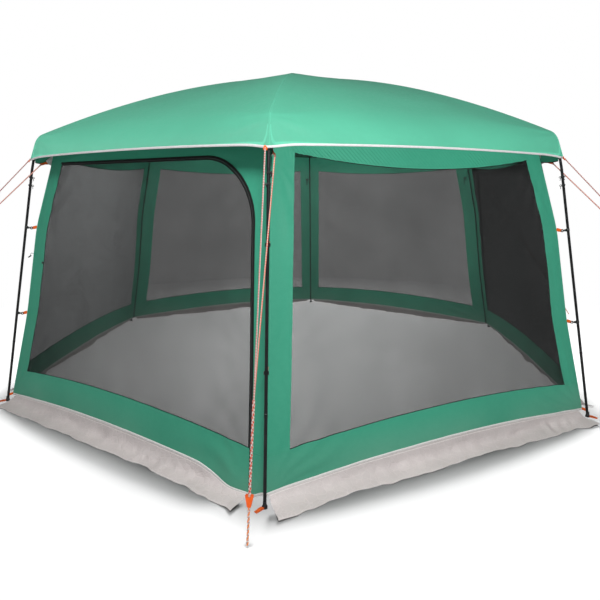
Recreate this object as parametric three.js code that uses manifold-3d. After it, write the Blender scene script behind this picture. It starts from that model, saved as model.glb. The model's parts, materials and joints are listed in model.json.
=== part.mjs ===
// Hexagonal screen house: six leaning steel legs, three crossing roof poles, a domed canopy,
// six mesh walls (one holds a zipped door), ground flaps and guy ropes.
// Millimetres, +Z up. The ground is z = 0 and the origin is on it, under the crown of the roof.
// Corner a faces -Y, and b to f follow clockwise seen from above. Wall ab holds the door.
import * as THREE from "three";
import { mergeVertices } from "three/addons/utils/BufferGeometryUtils.js";
import Module from "manifold-3d";

const wasm = await Module();
wasm.setup();

// ---------------------------------------------------------------- driving dimensions

const CORNERS = ["a", "b", "c", "d", "e", "f"];
const CLEARANCE = 0.4; // running gap between neighbouring pieces
const FABRIC = 1.5; // thickness of every fabric sheet

// Legs: 16 mm steel tube in two sections, leaning in towards the roof.
const BASE_R = 2250; // crown axis to the middle of a foot
const LEG_LEAN = 0.1917; // inward run for each unit of height
const LEG_RADIUS = 8;
const LEG_BORE = 7.2;
const SPIGOT_RADIUS = LEG_BORE - CLEARANCE;
const SPIGOT_LENGTH = 60;
const JOINT_Z = 430; // where the upper section sits on the lower one
const STRAIGHT_Z = 1560; // the upper section bends in above this height
const KNEE_BEND = [ // middle line of the bend, as [radius, height]
  [1931, 1640],
  [1907, 1712],
  [1878, 1762],
  [1840, 1788],
  [1800, 1806],
];
const FOOT = { radius: 13, height: 16 };
const ROUND = 10; // sides of the faceted tubes

// Canopy: a dome with a short skirt that drops from the knee to the hem.
const KNEE = { r: 1901, z: 1773 };
const HEM = { r: 1955, z: 1633, rise: 16, bulge: 10 };
const DOME = { z: 2277, power: 1.75 };
const NUB = { height: 28, radius: 60 }; // the crown hub lifts the fabric this much
const BEND = { corner: 60, middle: 220 }; // run of the rounded bend above the skirt
const ROOF_POLE = { radius: 4.75, drop: 13, stack: 10.6, reach: 1838, blend: 220 };
const CROWN = { radius: 45, low: 2271, high: 2296 };

// Walls hang inside the legs: [height, distance from the leg's middle line in to the wall corner].
const CORNER_INSET = [
  [0, 27],
  [615, 65],
  [1190, 65],
  [1620, 117],
  [1800, 130],
];
const CLIP_Z = { lower: 615, upper: 1190 };
const WALL_TOP = 1785;
const CORNER_GAP = 2.5; // sewn corner seam, half of its width
const TRIM = { z: 45, rise: 45 }; // lower edge of a wall, at its corners and up to its middle
const BAND_HEIGHT = 180;
const STRIP_WIDTH = 120;
const WINDOW_TOP = { z: 1635, sag: 40 };
const VALANCE_TOP = { z: 1612, sag: 66 }; // the window of wall fa hangs lower

// Door: it fills wall ab from the strip at corner b to the zip beside corner a.
const DOOR = { top: 1597, zipStrip: 100, archWidth: 370, archHeight: 330 };
const SLIDER = { z: 262, strip: 88, width: 11, length: 22, depth: 6, pull: 34 };

const FLAP = { end: 40, tip: 1075, middle: 2018, corner: 2067, low: 1.2 };

// Guy ropes: two cords from the corner meet in a knot, and one thicker cord runs to the peg.
// The ropes at corners a and d are pegged near their feet, and the others far out.
const GUY = { hem: [1962, 1622, -14], wall: [1893, 1597, 22], cord: 2.2, tail: 3.5, knot: 5.2 };
const PEG = { near: [2520, 6, -36], far: [3510, 6, 0] };
const KNOT_AT = { near: 0.885, far: 0.85 }; // share of the way from the hem to the peg
const TENSIONER = { top: 37, bottom: 16, above: 8, below: 44, thickness: 11, chamfer: 4 };
const CLIP = { outer: 11.5, arm: 24, armHalf: 5, eye: 2.8, width: 14, mouthDeg: 50 };

// ---------------------------------------------------------------- materials

const paint = (color, roughness, metalness = 0) =>
  new THREE.MeshStandardMaterial({ color, roughness, metalness });
const materials = {
  steel: paint(0x17181a, 0.45, 0.6),
  rod: paint(0x202224, 0.5),
  plastic: paint(0x111213, 0.5),
  canopy: paint(0x4fa88a, 0.75),
  wall: paint(0x42977a, 0.8),
  mesh: paint(0x3a3c3d, 0.9),
  flap: paint(0xbdb6b4, 0.8),
  rope: paint(0xc06a55, 0.9),
  tensioner: paint(0xe2640c, 0.45),
};

const object = new THREE.Group();

function addMesh(name, geometry, material) {
  const mesh = new THREE.Mesh(geometry, material);
  mesh.name = name;
  object.add(mesh);
  return mesh;
}

// ---------------------------------------------------------------- places

const UP = new THREE.Vector3(0, 0, 1);
const radians = THREE.MathUtils.degToRad;
const cornerAngle = (i) => radians(-90 - 60 * i);
const wallAngle = (i) => radians(-120 - 60 * i);
const COS30 = Math.cos(radians(30));

const outward = (angle) => new THREE.Vector3(Math.cos(angle), Math.sin(angle), 0);
const sideways = (angle) => new THREE.Vector3(-Math.sin(angle), Math.cos(angle), 0);

// A point in the upright plane of corner i, moved sideways (anticlockwise seen from above).
function atCorner(i, r, z, side = 0) {
  const angle = cornerAngle(i);
  return outward(angle).multiplyScalar(r).addScaledVector(sideways(angle), side).setZ(z);
}

// A point in front of wall i: along runs from corner i to corner i + 1, from the wall's middle.
function atWall(i, apothem, along, z) {
  const angle = wallAngle(i);
  return outward(angle).multiplyScalar(apothem).addScaledVector(sideways(angle), -along).setZ(z);
}

const legRadiusAt = (z) => BASE_R - LEG_LEAN * z;

function interpolate(table, x) {
  const k = Math.max(1, table.findIndex(([at]) => at >= x));
  const [x0, y0] = table[k - 1];
  const [x1, y1] = table[k];
  return y0 + ((y1 - y0) * (x - x0)) / (x1 - x0);
}

// The corner radius of the walls is also the length of one wall at that height.
const wallCornerAt = (z) => legRadiusAt(z) - interpolate(CORNER_INSET, z);

// A point on wall i: share runs 0 to 1 from corner i to corner i + 1, between the two margins.
function onWall(i, share, z, margin, endMargin = margin) {
  const length = wallCornerAt(z);
  const along = margin + (length - margin - endMargin) * share - length / 2;
  return atWall(i, length * COS30, along, z);
}

const crest = (share) => 4 * share * (1 - share); // 0 at both ends and 1 in the middle
const trimZ = (share) => TRIM.z + TRIM.rise * crest(share);

// ---------------------------------------------------------------- solids

function solidFrom(points, faces) {
  const geometry = new THREE.BufferGeometry().setFromPoints(points);
  geometry.setIndex(faces.flat());
  return geometry;
}

// A closed sheet: the open surface, grown by half the thickness to each side, with a rim.
function cloth({ points, faces }) {
  const surface = solidFrom(points, faces);
  surface.computeVertexNormals();
  const normals = surface.getAttribute("normal");
  const layer = (offset) =>
    points.map((point, k) =>
      point.clone().addScaledVector(new THREE.Vector3().fromBufferAttribute(normals, k), offset),
    );
  const open = new Map();
  for (const [a, b, c] of faces) {
    for (const [p, q] of [[a, b], [b, c], [c, a]]) {
      if (!open.delete(`${q} ${p}`)) open.set(`${p} ${q}`, [p, q]);
    }
  }
  const n = points.length;
  const inner = faces.map(([a, b, c]) => [c + n, b + n, a + n]);
  const rim = [...open.values()].flatMap(([p, q]) => [[q, p, p + n], [q, p + n, q + n]]);
  return solidFrom([...layer(FABRIC / 2), ...layer(-FABRIC / 2)], [...faces, ...inner, ...rim]);
}

// An open surface through at(u, v), with coinciding points welded. It faces v × u.
function surface(at, us, vs) {
  const points = [];
  const index = new Map();
  const weld = (point) => {
    const key = point.toArray().map((x) => x.toFixed(3)).join(" ");
    if (!index.has(key)) index.set(key, points.push(point) - 1);
    return index.get(key);
  };
  const rows = vs.map((v) => us.map((u) => weld(at(u, v))));
  const faces = [];
  for (let j = 1; j < vs.length; j++) {
    for (let i = 1; i < us.length; i++) {
      const [a, b, c, d] = [rows[j - 1][i - 1], rows[j][i - 1], rows[j][i], rows[j - 1][i]];
      for (const face of [[a, b, c], [a, c, d]]) {
        if (new Set(face).size === 3) faces.push(face);
      }
    }
  }
  return { points, faces };
}

const steps = (count, from = 0, to = 1) =>
  Array.from({ length: count + 1 }, (_, k) => from + ((to - from) * k) / count);

// A round bar along points, or a pipe where it has a bore. side is square to the whole path.
function bar(points, radius, sides, side, bore = 0) {
  const ring = (k, r) => {
    const tangent = points[Math.min(k + 1, points.length - 1)]
      .clone()
      .sub(points[Math.max(k - 1, 0)])
      .normalize();
    const across = tangent.cross(side).normalize();
    return steps(sides - 1, 0, (2 * Math.PI * (sides - 1)) / sides).map((angle) =>
      points[k]
        .clone()
        .addScaledVector(side, r * Math.cos(angle))
        .addScaledVector(across, r * Math.sin(angle)),
    );
  };
  const rings = points.map((_, k) => ring(k, radius));
  if (bore) rings.push(...points.map((_, k) => ring(k, bore)).reverse());
  const faces = [];
  const join = (j, k) => {
    for (let a = 0; a < sides; a++) {
      const b = (a + 1) % sides;
      const [p, q] = [j * sides + a, j * sides + b];
      const [r, s] = [k * sides + a, k * sides + b];
      faces.push([p, q, s], [p, s, r]);
    }
  };
  for (let k = 1; k < rings.length; k++) join(k - 1, k);
  if (bore) {
    join(rings.length - 1, 0);
  } else {
    const last = (rings.length - 1) * sides;
    for (let a = 2; a < sides; a++) {
      faces.push([0, a, a - 1], [last, last + a - 1, last + a]);
    }
  }
  return solidFrom(rings.flat(), faces);
}

function toManifold(geometry) {
  const bare = geometry.clone();
  bare.deleteAttribute("normal");
  bare.deleteAttribute("uv");
  const merged = mergeVertices(bare, 1e-3);
  const vertProperties = merged.attributes.position.array;
  const triVerts = new Uint32Array(merged.index.array);
  return new wasm.Manifold(new wasm.Mesh({ numProp: 3, vertProperties, triVerts }));
}

function fromManifold(solid) {
  const { vertProperties, triVerts } = solid.getMesh();
  const geometry = new THREE.BufferGeometry();
  geometry.setAttribute("position", new THREE.BufferAttribute(vertProperties, 3));
  geometry.setIndex(new THREE.BufferAttribute(triVerts, 1));
  return geometry;
}

const unite = (...geometries) =>
  fromManifold(geometries.map(toManifold).reduce((all, one) => all.add(one)));
const cut = (geometry, tool) => fromManifold(toManifold(geometry).subtract(toManifold(tool)));

// Puts a mesh at a point, with its own x and y axes turned to the given directions.
function place(mesh, point, x, y) {
  const z = new THREE.Vector3().crossVectors(x, y);
  mesh.quaternion.setFromRotationMatrix(new THREE.Matrix4().makeBasis(x, y, z));
  mesh.position.copy(point);
}

// ---------------------------------------------------------------- frame

function legLine(i, ...heights) {
  return heights.map((z) => atCorner(i, legRadiusAt(z), z));
}

function addLeg(i) {
  const side = sideways(cornerAngle(i));
  const foot = new THREE.CylinderGeometry(FOOT.radius, FOOT.radius, FOOT.height, 12);
  foot.rotateX(Math.PI / 2);
  foot.translate(...atCorner(i, legRadiusAt(FOOT.height / 2), FOOT.height / 2).toArray());
  const tube = bar(legLine(i, FOOT.height / 2, JOINT_Z - CLEARANCE), LEG_RADIUS, ROUND, side);
  const spigotTop = JOINT_Z + SPIGOT_LENGTH;
  const spigot = bar(legLine(i, JOINT_Z - SPIGOT_LENGTH, spigotTop), SPIGOT_RADIUS, ROUND, side);
  const bore = bar(legLine(i, FOOT.height + 10, spigotTop + 10), SPIGOT_RADIUS - 1, ROUND, side);
  const lower = cut(unite(foot, tube, spigot), bore);
  addMesh(`leg_lower_${CORNERS[i]}`, lower, materials.steel);

  const bend = KNEE_BEND.map(([r, z]) => atCorner(i, r, z));
  const path = [...legLine(i, JOINT_Z, STRAIGHT_Z), ...bend];
  const upper = bar(path, LEG_RADIUS, ROUND, side, LEG_BORE);
  addMesh(`leg_upper_${CORNERS[i]}`, upper, materials.steel);
}

const roofZ = (r) => DOME.z - (DOME.z - KNEE.z) * (Math.abs(r) / KNEE.r) ** DOME.power;

// The roof poles cross at the crown, one below the other.
function addRoofPole(k) {
  const dip = (r) => ROOF_POLE.drop + k * ROOF_POLE.stack * Math.exp(-((r / ROOF_POLE.blend) ** 2));
  const path = steps(20, -ROOF_POLE.reach, ROOF_POLE.reach).map((r) =>
    atCorner(k, r, roofZ(r) - dip(r)),
  );
  const name = `roof_pole_${CORNERS[k]}${CORNERS[k + 3]}`;
  addMesh(name, bar(path, ROOF_POLE.radius, 8, sideways(cornerAngle(k))), materials.rod);
}

function addCrownHub() {
  const { radius, low, high } = CROWN;
  const round = new THREE.EllipseCurve(0, low + 3, radius, high - low - 3, 0, Math.PI / 2);
  const outline = [new THREE.Vector2(0, low), new THREE.Vector2(radius, low), ...round.getPoints(5)];
  outline[outline.length - 1].x = 0;
  const hub = addMesh("crown_hub", new THREE.LatheGeometry(outline, 16), materials.plastic);
  hub.rotation.x = Math.PI / 2;
}

// ---------------------------------------------------------------- canopy

// The canopy's section as [corner radius, height]: v is 0 at the hem and 1 at the crown, and
// bend is how far in from the knee the rounding starts.
function canopySection(v, bend) {
  const [skirtEnd, roofStart] = [0.15, 0.45];
  const share = Math.min(0.9, 0.2 + bend / 300);
  const low = new THREE.Vector2(
    KNEE.r + (HEM.r - KNEE.r) * share,
    KNEE.z + (HEM.z - KNEE.z) * share,
  );
  const high = new THREE.Vector2(KNEE.r - bend, roofZ(KNEE.r - bend));
  if (v <= skirtEnd) return new THREE.Vector2(HEM.r, HEM.z).lerp(low, v / skirtEnd);
  if (v <= roofStart) {
    const knee = new THREE.Vector2(KNEE.r, KNEE.z);
    const curve = new THREE.QuadraticBezierCurve(low, knee, high);
    return curve.getPoint((v - skirtEnd) / (roofStart - skirtEnd));
  }
  const r = (high.x * (1 - v)) / (1 - roofStart);
  return new THREE.Vector2(r, roofZ(r) + NUB.height * Math.exp(-((r / NUB.radius) ** 2)));
}

function addCanopy() {
  const hemShare = (v) => Math.max(0, 1 - v / 0.45);
  const at = (u, v) => {
    const panel = Math.min(5, Math.floor(u));
    const share = u - panel;
    const middle = crest(share);
    const section = canopySection(v, THREE.MathUtils.lerp(BEND.corner, BEND.middle, middle));
    const apothem = section.x * COS30 + HEM.bulge * middle * hemShare(v);
    const z = section.y + HEM.rise * middle * hemShare(v);
    return atWall(panel, apothem, (share - 0.5) * section.x, z);
  };
  const rows = [0, 0.15, 0.25, 0.35, 0.45, 0.56, 0.67, 0.78, 0.88, 0.95, 0.98, 1];
  addMesh("canopy", cloth(surface(at, steps(36, 0, 6), rows)), materials.canopy);
}

// ---------------------------------------------------------------- walls

// Points of the unit square's edge, from (0, 0) along the bottom, in order.
function squareEdge(q) {
  const f = q % 1;
  return [[f, 0], [1, f], [1 - f, 1], [0, 1 - f]][Math.floor(q) % 4];
}

// A window's opening: share runs across it and rise from its lower edge to its upper edge.
function windowPoint(i, share, rise, shrink = 0) {
  const top = CORNERS[i] === "f" ? VALANCE_TOP : WINDOW_TOP;
  const low = trimZ(share) + BAND_HEIGHT + shrink;
  const high = top.z - top.sag * crest(share) - shrink;
  return onWall(i, share, low + (high - low) * rise, STRIP_WIDTH + shrink);
}

// The door's opening: share is 0 at the zip beside corner a, where the top falls in an arch.
function doorPoint(share, rise, shrink = 0) {
  const width = share * wallCornerAt(DOOR.top);
  const arch = Math.max(0, 1 - width / DOOR.archWidth);
  const low = trimZ(share) + BAND_HEIGHT + shrink;
  const high = DOOR.top - DOOR.archHeight * (1 - Math.sqrt(1 - arch ** 2)) - shrink;
  const z = low + (high - low) * rise;
  return onWall(0, share, z, DOOR.zipStrip + shrink, STRIP_WIDTH + shrink);
}

// The steps across the door crowd towards the zip, where the arch is steep.
function addWall(i) {
  const name = CORNERS[i] + CORNERS[(i + 1) % 6];
  const isDoor = i === 0;
  const count = isDoor ? 8 : 6;
  const opening = isDoor ? doorPoint : (...args) => windowPoint(i, ...args);
  const spread = (share) => (isDoor ? share ** 2 : share);
  const frame = (q, v) => {
    const [share, rise] = squareEdge(q);
    const low = trimZ(spread(share));
    const outer = onWall(i, spread(share), low + (WALL_TOP - low) * rise, CORNER_GAP);
    return outer.lerp(opening(spread(share), rise), v);
  };
  const around = steps(4 * count, 0, 4);
  addMesh(`wall_frame_${name}`, cloth(surface(frame, around, [0, 1])), materials.wall);

  const panel = (u, v) => opening(spread(u), v, FABRIC);
  const panelName = isDoor ? "door_mesh" : `window_mesh_${name}`;
  addMesh(panelName, cloth(surface(panel, steps(count), steps(count))), materials.mesh);
}

function addFlap(i) {
  const at = (share, rise) => {
    const bottom = FLAP.corner + (FLAP.middle - FLAP.corner) * crest(share);
    const low = atWall(i, bottom, (2 * share - 1) * FLAP.tip, FLAP.low);
    const top = onWall(i, share, trimZ(share) - 2 * FABRIC, FLAP.end);
    return low.lerp(top, rise);
  };
  const name = `ground_flap_${CORNERS[i]}${CORNERS[(i + 1) % 6]}`;
  addMesh(name, cloth(surface(at, steps(12), steps(2))), materials.flap);
}

function addZipSlider() {
  const { z, strip, width, length, depth, pull } = SLIDER;
  const body = new THREE.BoxGeometry(width, length, depth);
  const tab = new THREE.BoxGeometry(width * 0.6, pull, 2).translate(0, -pull / 2, depth / 2);
  const slider = addMesh("zip_slider", unite(body, tab), materials.plastic);
  const at = onWall(0, 0, z, strip);
  const up = onWall(0, 0, CLIP_Z.upper, strip).sub(at).normalize();
  const along = sideways(wallAngle(0));
  const across = along.addScaledVector(up, -along.dot(up)).normalize();
  const front = new THREE.Vector3().crossVectors(across, up);
  place(slider, at.addScaledVector(front, depth / 2 + FABRIC), across, up);
}

// ---------------------------------------------------------------- clips and guy ropes

// A snap hook round the leg, with an eye for the strap on the wall corner.
function clipGeometry() {
  const { outer, arm, armHalf, eye, width, mouthDeg } = CLIP;
  const inner = LEG_RADIUS + CLEARANCE;
  const mouth = Math.PI - radians(mouthDeg);
  const root = Math.asin(armHalf / outer);
  const outline = new THREE.Shape();
  outline.absarc(0, 0, outer, -mouth, -root, false);
  outline.absarc(arm, 0, armHalf, -Math.PI / 2, Math.PI / 2, false);
  outline.absarc(0, 0, outer, root, mouth, false);
  outline.absarc(0, 0, inner, mouth, -mouth, true);
  outline.holes.push(new THREE.Path().absarc(arm, 0, eye, 0, 2 * Math.PI, true));
  const options = { depth: width, bevelEnabled: false, curveSegments: 4 };
  return new THREE.ExtrudeGeometry(outline, options).translate(0, 0, -width / 2);
}

function addClip(i, level) {
  const z = CLIP_Z[level];
  const [low, high] = legLine(i, z, z + 100);
  const leg = high.sub(low).normalize();
  const side = sideways(cornerAngle(i)).negate();
  const inward = new THREE.Vector3().crossVectors(side, leg);
  const clip = addMesh(`pole_clip_${level}_${CORNERS[i]}`, clipGeometry(), materials.plastic);
  place(clip, low, inward, side);
}

function tensionerGeometry() {
  const { top, bottom, above, below, thickness, chamfer } = TENSIONER;
  const outline = new THREE.Shape();
  outline.moveTo(-bottom / 2, -below);
  outline.lineTo(bottom / 2, -below);
  outline.lineTo(top / 2, above - chamfer);
  outline.lineTo(top / 2 - chamfer, above);
  outline.lineTo(chamfer - top / 2, above);
  outline.lineTo(-top / 2, above - chamfer);
  const plate = new THREE.ExtrudeGeometry(outline, { depth: thickness, bevelEnabled: false });
  plate.translate(0, 0, -thickness / 2);
  const bore = GUY.tail + CLEARANCE;
  const funnel = [
    [0, -below - 5],
    [bore, -below - 5],
    [bore, -15],
    [9.5, above + 4],
    [0, above + 4],
  ].map(([r, y]) => new THREE.Vector2(r, y));
  return cut(plate, new THREE.LatheGeometry(funnel, 12));
}

function addGuy(i) {
  const reach = i % 3 === 0 ? "near" : "far";
  const hem = atCorner(i, ...GUY.hem);
  const wall = atCorner(i, ...GUY.wall);
  const peg = atCorner(i, ...PEG[reach]);
  const knot = hem.clone().lerp(peg, KNOT_AT[reach]);
  const cord = (from, to, radius) => {
    const side = new THREE.Vector3().subVectors(to, from).cross(UP).normalize();
    return bar([from, to], radius, 6, side);
  };
  const bead = new THREE.SphereGeometry(GUY.knot, 6, 5).translate(...knot.toArray());
  const rope = unite(
    cord(hem, knot, GUY.cord),
    cord(wall, knot, GUY.cord),
    cord(knot, peg, GUY.tail),
    bead,
  );
  addMesh(`guy_rope_${CORNERS[i]}`, rope, materials.rope);

  const up = new THREE.Vector3().subVectors(knot, peg).normalize();
  const side = new THREE.Vector3().crossVectors(up, UP).normalize();
  const tensioner = addMesh(`tensioner_${CORNERS[i]}`, tensionerGeometry(), materials.tensioner);
  place(tensioner, knot, side, up);
}

// ---------------------------------------------------------------- assembly

for (let i = 0; i < CORNERS.length; i++) {
  addLeg(i);
  addWall(i);
  addFlap(i);
  addClip(i, "lower");
  addClip(i, "upper");
  addGuy(i);
}
for (let k = 0; k < 3; k++) addRoofPole(k);
addCrownHub();
addCanopy();
addZipSlider();

export default object;
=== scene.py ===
"""Looks of the hexagonal screen house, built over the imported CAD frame. Metres, +Z up."""

import json
import math

import bpy
import numpy as np
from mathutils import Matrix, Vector

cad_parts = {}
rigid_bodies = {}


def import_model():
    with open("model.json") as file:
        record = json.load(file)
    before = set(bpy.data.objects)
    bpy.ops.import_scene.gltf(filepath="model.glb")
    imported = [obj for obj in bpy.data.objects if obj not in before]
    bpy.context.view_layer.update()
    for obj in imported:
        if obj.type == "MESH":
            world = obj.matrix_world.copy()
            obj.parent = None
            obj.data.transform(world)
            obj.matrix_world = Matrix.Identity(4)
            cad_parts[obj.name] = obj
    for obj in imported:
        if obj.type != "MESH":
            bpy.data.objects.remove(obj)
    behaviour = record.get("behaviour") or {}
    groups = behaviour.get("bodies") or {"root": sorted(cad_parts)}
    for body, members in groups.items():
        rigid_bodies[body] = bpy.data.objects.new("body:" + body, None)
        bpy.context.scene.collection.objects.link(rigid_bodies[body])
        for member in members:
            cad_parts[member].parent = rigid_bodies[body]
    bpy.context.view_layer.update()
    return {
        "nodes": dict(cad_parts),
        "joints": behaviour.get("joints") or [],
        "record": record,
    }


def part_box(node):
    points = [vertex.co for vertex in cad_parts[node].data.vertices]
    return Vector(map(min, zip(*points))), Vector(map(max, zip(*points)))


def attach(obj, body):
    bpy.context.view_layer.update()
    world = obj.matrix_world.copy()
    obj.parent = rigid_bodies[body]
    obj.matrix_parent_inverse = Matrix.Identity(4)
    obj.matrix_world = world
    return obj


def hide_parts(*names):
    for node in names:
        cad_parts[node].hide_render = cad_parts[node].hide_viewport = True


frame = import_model()

# ---------------------------------------------------------------- the design, as in the CAD part

CORNERS = "abcdef"
WALLS = ["ab", "bc", "cd", "de", "ef", "fa"]
DOOR_WALL = 0
VALANCE_WALL = 5
COS30 = math.cos(math.radians(30))
UP = np.array([0.0, 0.0, 1.0])

LEG_LEAN = 0.1917
FOOT = {"radius": 0.013, "height": 0.016}
FOOT_POINT = frame["record"]["mounts"][0]["pos_m"]
BASE_R = math.hypot(FOOT_POINT[0], FOOT_POINT[1]) + LEG_LEAN * FOOT["height"] / 2
LEG_RADIUS = 0.008
JOINT_Z = 0.430
STRAIGHT_Z = 1.560
KNEE_BEND = [(1.931, 1.640), (1.907, 1.712), (1.878, 1.762), (1.840, 1.788), (1.800, 1.806)]

KNEE = (1.901, 1.773)
HEM = {"r": 1.955, "z": 1.633, "rise": 0.016, "bulge": 0.010}
DOME = {"z": 2.277, "power": 1.75}
NUB = {"height": 0.028, "radius": 0.060}
BEND = {"corner": 0.035, "middle": 0.220}
ROOF_POLE = {"radius": 0.00475, "drop": 0.013, "stack": 0.0106, "reach": 1.838, "blend": 0.220}
SKIRT_END, ROOF_START = 0.15, 0.45

INSET_Z = [0.0, 0.615, 1.190, 1.620, 1.800]
INSET = [0.027, 0.065, 0.065, 0.117, 0.130]
CLIP_Z = {"lower": 0.615, "upper": 1.190}
WALL_TOP = 1.785
CORNER_GAP = 0.0025
TRIM = {"z": 0.045, "rise": 0.045}
BAND_HEIGHT = 0.180
STRIP_WIDTH = 0.120
WINDOW_TOP = (1.635, 0.040)
VALANCE_TOP = (1.612, 0.066)
DOOR = {"top": 1.597, "strip": 0.100, "arch_width": 0.370, "arch_height": 0.330}
ZIP_DIP = {"depth": 0.034, "start": 0.08, "stop": 0.46, "fade": 0.27}
FLARE = {"out": 0.018, "at": 0.20, "width": 0.08, "root": 0.15, "top": 0.215, "fade": 0.16}
FLAP = {"end": 0.040, "tip": 1.075, "middle": 2.018, "corner": 2.067, "low": 0.0012}
CLIP = {"outer": 0.0115, "arm": 0.024, "width": 0.014, "mouth": 50}
SWAGE = {"flush": 0.0081, "proud": 0.0087, "lip": 0.0084, "length": 0.022}

SHEET = 0.0012  # thickness of the shown cloth
NET = 0.0008
SHARP_ANGLE = 50  # in degrees: sharper edges stay hard when a piece is shaded smooth


def steps(count, low=0.0, high=1.0):
    return np.linspace(low, high, count + 1)


def outward(angle):
    return np.array([math.cos(angle), math.sin(angle), 0.0])


def sideways(angle):
    return np.array([-math.sin(angle), math.cos(angle), 0.0])


def corner_angle(i):
    return math.radians(-90 - 60 * i)


def wall_angle(i):
    return math.radians(-120 - 60 * i)


def placed(angle, out, side, z):
    out, side, z = np.broadcast_arrays(out, side, z)
    return out[..., None] * outward(angle) + side[..., None] * sideways(angle) + z[..., None] * UP


def at_corner(i, r, z, side=0.0):
    return placed(corner_angle(i), r, side, z)


def at_wall(i, apothem, along, z):
    return placed(wall_angle(i), apothem, -np.asarray(along, float), z)


def leg_radius(z):
    return BASE_R - LEG_LEAN * np.asarray(z, float)


def inset(z):
    """Distance from a leg's middle line in to the wall corner, rounded off a little."""
    z = np.asarray(z, float)
    return sum(np.interp(z + d, INSET_Z, INSET) for d in (-0.06, -0.02, 0.02, 0.06)) / 4


def span(z):
    """Corner radius of the walls at a height, which is also the length of one wall there."""
    return leg_radius(z) - inset(z)


def crest(share):
    return 4 * share * (1 - share)


def trim_z(share):
    return TRIM["z"] + TRIM["rise"] * crest(share)


def foot_z(i, share):
    """Height of a wall's lower edge. The door wall's stays low beside the zip."""
    dip = 0.0
    if i == DOOR_WALL:
        from_corner = share * span(TRIM["z"])
        dip = ZIP_DIP["depth"] * smooth_step(from_corner / ZIP_DIP["start"])
        dip = dip * smooth_step((ZIP_DIP["stop"] - from_corner) / ZIP_DIP["fade"])
    return trim_z(share) - dip


def unit(v):
    return v / np.maximum(np.linalg.norm(v, axis=-1, keepdims=True), 1e-12)


def smooth_step(x):
    x = np.clip(x, 0, 1)
    return x * x * (3 - 2 * x)


def ripple(points, seed, size):
    """Smooth unevenness between about -1 and 1, the same on every run."""
    rng = np.random.default_rng(seed)
    total = 0
    for _ in range(8):
        direction = unit(rng.normal(size=3)) * 2 * math.pi / (size * rng.uniform(0.6, 1.7))
        total = total + np.sin(points @ direction + rng.uniform(0, 2 * math.pi))
    return total / 2.8


# ---------------------------------------------------------------- shapes: (points, faces, weave)


def quads(a, b, c, d):
    return np.stack([a.ravel(), b.ravel(), c.ravel(), d.ravel()], axis=1)


def grid_normals(grid, closed):
    if closed:
        across = np.roll(grid, -1, axis=1) - np.roll(grid, 1, axis=1)
    else:
        across = np.gradient(grid, axis=1)
    return unit(np.cross(across, np.gradient(grid, axis=0)))


def sheet(grid, weave, thickness=SHEET, closed=False, lift=0.0):
    """A thin closed sheet over a grid of points. closed joins the last column to the first."""
    rows, columns = grid.shape[:2]
    normal = grid_normals(grid, closed)
    outer = grid + normal * (lift + thickness / 2)
    inner = grid + normal * (lift - thickness / 2)
    shift = rows * columns
    index = np.arange(shift).reshape(rows, columns)
    back = index + shift
    following = np.roll(index, -1, axis=1) if closed else index[:, 1:]
    current = index if closed else index[:, :-1]
    faces = [
        quads(current[:-1], following[:-1], following[1:], current[1:]),
        quads(current[1:], following[1:], following[:-1], current[:-1]) + shift,
        quads(following[0], current[0], current[0] + shift, following[0] + shift),
        quads(current[-1], following[-1], following[-1] + shift, current[-1] + shift),
    ]
    if not closed:
        faces.append(quads(index[:-1, 0], index[1:, 0], back[1:, 0], back[:-1, 0]))
        faces.append(quads(index[1:, -1], index[:-1, -1], back[:-1, -1], back[1:, -1]))
    points = np.concatenate([outer.reshape(-1, 3), inner.reshape(-1, 3)])
    weave = np.concatenate([weave.reshape(-1, 3)] * 2)
    return points, np.concatenate(faces).tolist(), weave


def path_length(path):
    return np.concatenate([[0], np.cumsum(np.linalg.norm(np.diff(path, axis=0), axis=1))])


def sweep(path, profile, normal, scale=1.0, loop=False):
    """A closed section carried along a path. The section's y points along normal."""
    path = np.asarray(path, float)
    profile = np.asarray(profile, float)
    if loop:
        tangent = unit(np.roll(path, -1, axis=0) - np.roll(path, 1, axis=0))
    else:
        tangent = unit(np.gradient(path, axis=0))
    side = unit(np.cross(tangent, np.broadcast_to(normal, path.shape)))
    up = np.cross(side, tangent)
    scale = np.broadcast_to(scale, len(path))[:, None, None]
    section = side[:, None] * profile[None, :, :1] + up[:, None] * profile[None, :, 1:]
    points = path[:, None] + section * scale
    count, sides = points.shape[:2]
    index = np.arange(count * sides).reshape(count, sides)
    if loop:
        index = np.concatenate([index, index[:1]])
    turned = np.roll(index, -1, axis=1)
    faces = quads(index[:-1], index[1:], turned[1:], turned[:-1]).tolist()
    if not loop:
        faces.append(index[0].tolist())
        faces.append(index[-1][::-1].tolist())
    edge = np.linalg.norm(np.roll(profile, -1, axis=0) - profile, axis=1)
    around = np.concatenate([[0], np.cumsum(edge)[:-1]])
    weave = np.zeros((count, sides, 3))
    weave[..., 0] = path_length(path)[:, None]
    weave[..., 1] = around[None] / max(edge.sum(), 1e-9)
    weave[..., 2] = profile[None, :, 0]
    return points.reshape(-1, 3), faces, weave.reshape(-1, 3)


def circle(radius, sides=16):
    angle = np.arange(sides) * 2 * math.pi / sides
    return np.stack([radius * np.cos(angle), radius * np.sin(angle)], axis=1)


def strap_section(width, thickness, rounding=0.3):
    """A flat section with rounded long edges."""
    w, t = width / 2, thickness / 2
    r = t * rounding
    lower = [(-w, -t + r), (-w + r, -t), (w - r, -t), (w, -t + r)]
    return lower + [(-x, -y) for x, y in lower]


def any_normal(path):
    """A direction square to the path's plane, or any square one if it is straight."""
    path = np.asarray(path, float)
    chord = path[-1] - path[0]
    for point in path[1:-1]:
        normal = np.cross(chord, point - path[0])
        if np.linalg.norm(normal) > 1e-8:
            return unit(normal)
    return unit(np.cross(chord, [0.31, 0.87, 0.41]))


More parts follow.
